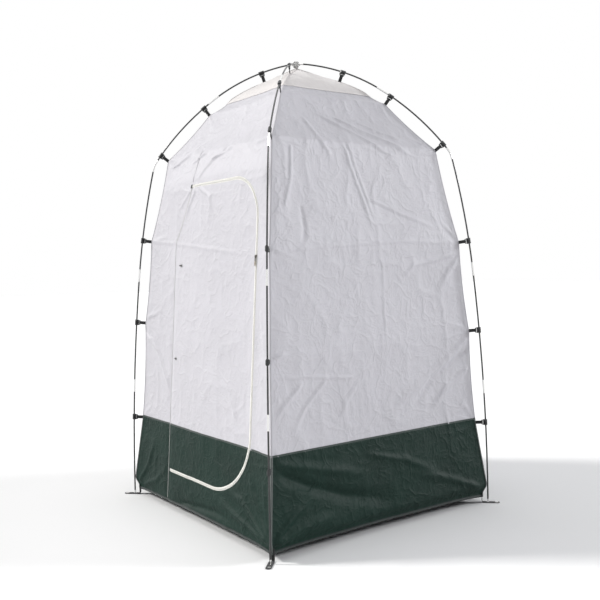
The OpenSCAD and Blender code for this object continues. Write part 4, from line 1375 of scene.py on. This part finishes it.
class TENT_OT_small_parts(bpy.types.Operator):
    """Make the tie-back cords with their patches, and the tape on the zip's pull"""

    bl_idname = "tent.small_parts"
    bl_label = "Tie-backs and pull tape"

    def execute(self, context):
        parts = Parts()
        for y, v in TOGGLES:
            side = np.linspace(-0.007, 0.007, 7)
            rows = []
            for dv, lip in ((-0.007, 0), (-0.0064, 1), (0, 1), (0.0064, 1), (0.007, 0)):
                stand = 0.0006 + 0.0009 * lip * (np.abs(side) < 0.0068)
                rows.append(cloth(FRONT, y + side, np.full(7, v + dv), stand))
            uv = np.stack(np.meshgrid(side, side[:5]), -1).reshape(-1, 2)
            parts.grid(np.stack(rows, 0), uv)
            base = cloth(FRONT, np.array([y]), np.array([v]), 0.0005)[0]
            tip = flat_front(0.0105, y, v)
            path = [base + (tip - base) * t for t in np.linspace(0, 1, 6)]
            tube(parts, path, (0.001, 0.001), flat=(1, 0, 0))
            ball = flat_front(0.0106, y, v)
            out = (tip - base) / np.linalg.norm(tip - base)
            round_path = [ball + out * t for t in np.linspace(-0.0017, 0.0017, 7)]
            tube(parts, round_path[1:-1], (0.0018, 0.0018), flat=(1, 0, 0), sides=10)
        piece = parts.make("tie_back_cords", finish("elastic"), "elastic_loop")
        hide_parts("toggle_loops")
        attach(piece, "door")
        tape = Parts()
        eye = 0.0028 + 0.00035 + 0.0014 + 0.0013
        line = [(0.0014, -0.0358), (0.0012, -0.024), (0.0011, -0.0185), (0.0, -0.0170)]
        line += [(-0.0011, -0.0185), (-0.0012, -0.024), (-0.0013, -0.0352)]
        path = [flat_front(eye + x, DOOR_RIGHT, 1.100 + z) for x, z in line]
        tube(tape, path, (0.0018, 0.00045), flat=(1, 0, 0))
        pull = tape.make("pull_ribbon", finish("tan tape"), "tan_tape")
        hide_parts("pull_tape")
        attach(pull, "zip_pull")
        return {"FINISHED"}


class TENT_OT_stage(bpy.types.Operator):
    """Make the floor, the soft lights and the camera"""

    bl_idname = "tent.stage"
    bl_label = "Stage"

    def execute(self, context):
        scene = context.scene
        scene.view_settings.view_transform = "Standard"
        scene.view_settings.look = "None"
        world = bpy.data.worlds.new("Studio")
        world.use_nodes = True
        tree = world.node_tree
        tree.nodes.clear()
        out = tree.nodes.new("ShaderNodeOutputWorld")
        mix = tree.nodes.new("ShaderNodeMixShader")
        path = tree.nodes.new("ShaderNodeLightPath")
        lit, seen = tree.nodes.new("ShaderNodeBackground"), tree.nodes.new("ShaderNodeBackground")
        lit.inputs["Color"].default_value = (0.93, 0.95, 1.0, 1)
        lit.inputs["Strength"].default_value = 0.16
        seen.inputs["Color"].default_value = (1, 1, 1, 1)
        seen.inputs["Strength"].default_value = 1.0
        camera_ray, glossy_ray = path.outputs["Is Camera Ray"], path.outputs["Is Glossy Ray"]
        seen_or_mirrored = math_node(tree, "MAXIMUM", camera_ray, glossy_ray)
        tree.links.new(seen_or_mirrored, mix.inputs[0])
        tree.links.new(lit.outputs[0], mix.inputs[1])
        tree.links.new(seen.outputs[0], mix.inputs[2])
        tree.links.new(mix.outputs[0], out.inputs[0])
        scene.world = world
        material, tree, shader = start_finish("pale floor", 0.9)
        grain = place(tree, "grain", Scale=3.0)
        two_colours(tree, shader, grain.outputs["Marks"], (0.92, 0.92, 0.92), (0.93, 0.93, 0.93))
        reach = np.linspace(-30, 30, 41)
        x, y = np.meshgrid(reach, reach)
        floor = Parts()
        floor.grid(np.stack([x, y, np.full_like(x, -0.0005)], -1))
        ground = floor.make("floor", material, "white_cloth")
        del ground["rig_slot"]
        for name, toward, power, spread, tint in (
            ("key", (0.55, 0.62, -0.50), 3.0, 10, (1.0, 0.99, 0.97)),
            ("fill", (-0.45, -0.75, -0.35), 2.0, 14, (0.97, 0.98, 1.0)),
            ("top", (0.05, 0.05, -1.0), 1.0, 60, (1.0, 1.0, 1.0)),
        ):
            lamp = bpy.data.lights.new(name, "SUN")
            lamp.energy, lamp.angle, lamp.color = power, math.radians(spread), tint
            light = bpy.data.objects.new(name, lamp)
            scene.collection.objects.link(light)
            light.rotation_euler = Vector(toward).to_track_quat("-Z", "Y").to_euler()
        heading, pitch, roll = math.radians(144.17), math.radians(-2.557), math.radians(-1.246)
        level = math.cos(pitch)
        ahead = Vector((math.cos(heading) * level, math.sin(heading) * level, math.sin(pitch)))
        right = ahead.cross(Vector((0, 0, 1))).normalized()
        up = right.cross(ahead)
        turned = right * math.cos(roll) + up * math.sin(roll)
        up = up * math.cos(roll) - right * math.sin(roll)
        view = bpy.data.cameras.new("Camera")
        view.lens, view.sensor_width = 47.93, 36
        camera = bpy.data.objects.new("Camera", view)
        scene.collection.objects.link(camera)
        camera.matrix_world = Matrix.Translation((2.983, -2.160, 1.088)) @ Matrix(
            (turned, up, -ahead)
        ).transposed().to_4x4()
        scene.camera = camera
        return {"FINISHED"}


class TentSizes(bpy.types.PropertyGroup):
    zip_tape: bpy.props.FloatProperty(
        name="Zip tape", description="Width of each tape of the zip that shows", default=0.007, unit="LENGTH"
    )
    tooth_pitch: bpy.props.FloatProperty(
        name="Tooth pitch",
        description="Distance between the zip's teeth on one side",
        default=0.0028,
        unit="LENGTH",
    )


class TentColours(bpy.types.PropertyGroup):
    walls: bpy.props.FloatVectorProperty(
        name="Walls",
        description="Colour of the white cloth",
        default=(0.565, 0.555, 0.592),
        subtype="COLOR",
        size=3,
    )
    skirt: bpy.props.FloatVectorProperty(
        name="Skirt",
        description="Colour of the green cloth",
        default=(0.008, 0.024, 0.018),
        subtype="COLOR",
        size=3,
    )
    cap: bpy.props.FloatVectorProperty(
        name="Roof cap",
        description="Colour of the roof cap's cloth",
        default=(0.70, 0.67, 0.66),
        subtype="COLOR",
        size=3,
    )


class TENT_PT_panel(bpy.types.Panel):
    """Sizes, colours and the steps that make the tent's looks"""

    bl_label = "Privacy shower tent"
    bl_idname = "TENT_PT_panel"
    bl_space_type = "VIEW_3D"
    bl_region_type = "UI"
    bl_category = "Tent"

    def draw(self, context):
        scene = context.scene
        for owner in (scene.tent_sizes, scene.tent_colours):
            for name in owner.__annotations__:
                self.layout.prop(owner, name)
        for step in STEPS:
            self.layout.operator(step.bl_idname)


STEPS = (
    TENT_OT_stage,
    TENT_OT_frame,
    TENT_OT_canopy,
    TENT_OT_skirt,
    TENT_OT_roof_cap,
    TENT_OT_corners,
    TENT_OT_door,
    TENT_OT_zip,
    TENT_OT_straps,
    TENT_OT_feet,
    TENT_OT_apex,
    TENT_OT_small_parts,
)
CLASSES = (TentSizes, TentColours, *STEPS, TENT_PT_panel)


def register():
    for cls in CLASSES:
        bpy.utils.register_class(cls)
    bpy.types.Scene.tent_sizes = bpy.props.PointerProperty(type=TentSizes)
    bpy.types.Scene.tent_colours = bpy.props.PointerProperty(type=TentColours)


def unregister():
    del bpy.types.Scene.tent_colours
    del bpy.types.Scene.tent_sizes
    for cls in reversed(CLASSES):
        bpy.utils.unregister_class(cls)


def main():
    register()
    for step in STEPS:
        group_name, operator = step.bl_idname.split(".")
        getattr(getattr(bpy.ops, group_name), operator)()


if __name__ == "__main__":
    main()
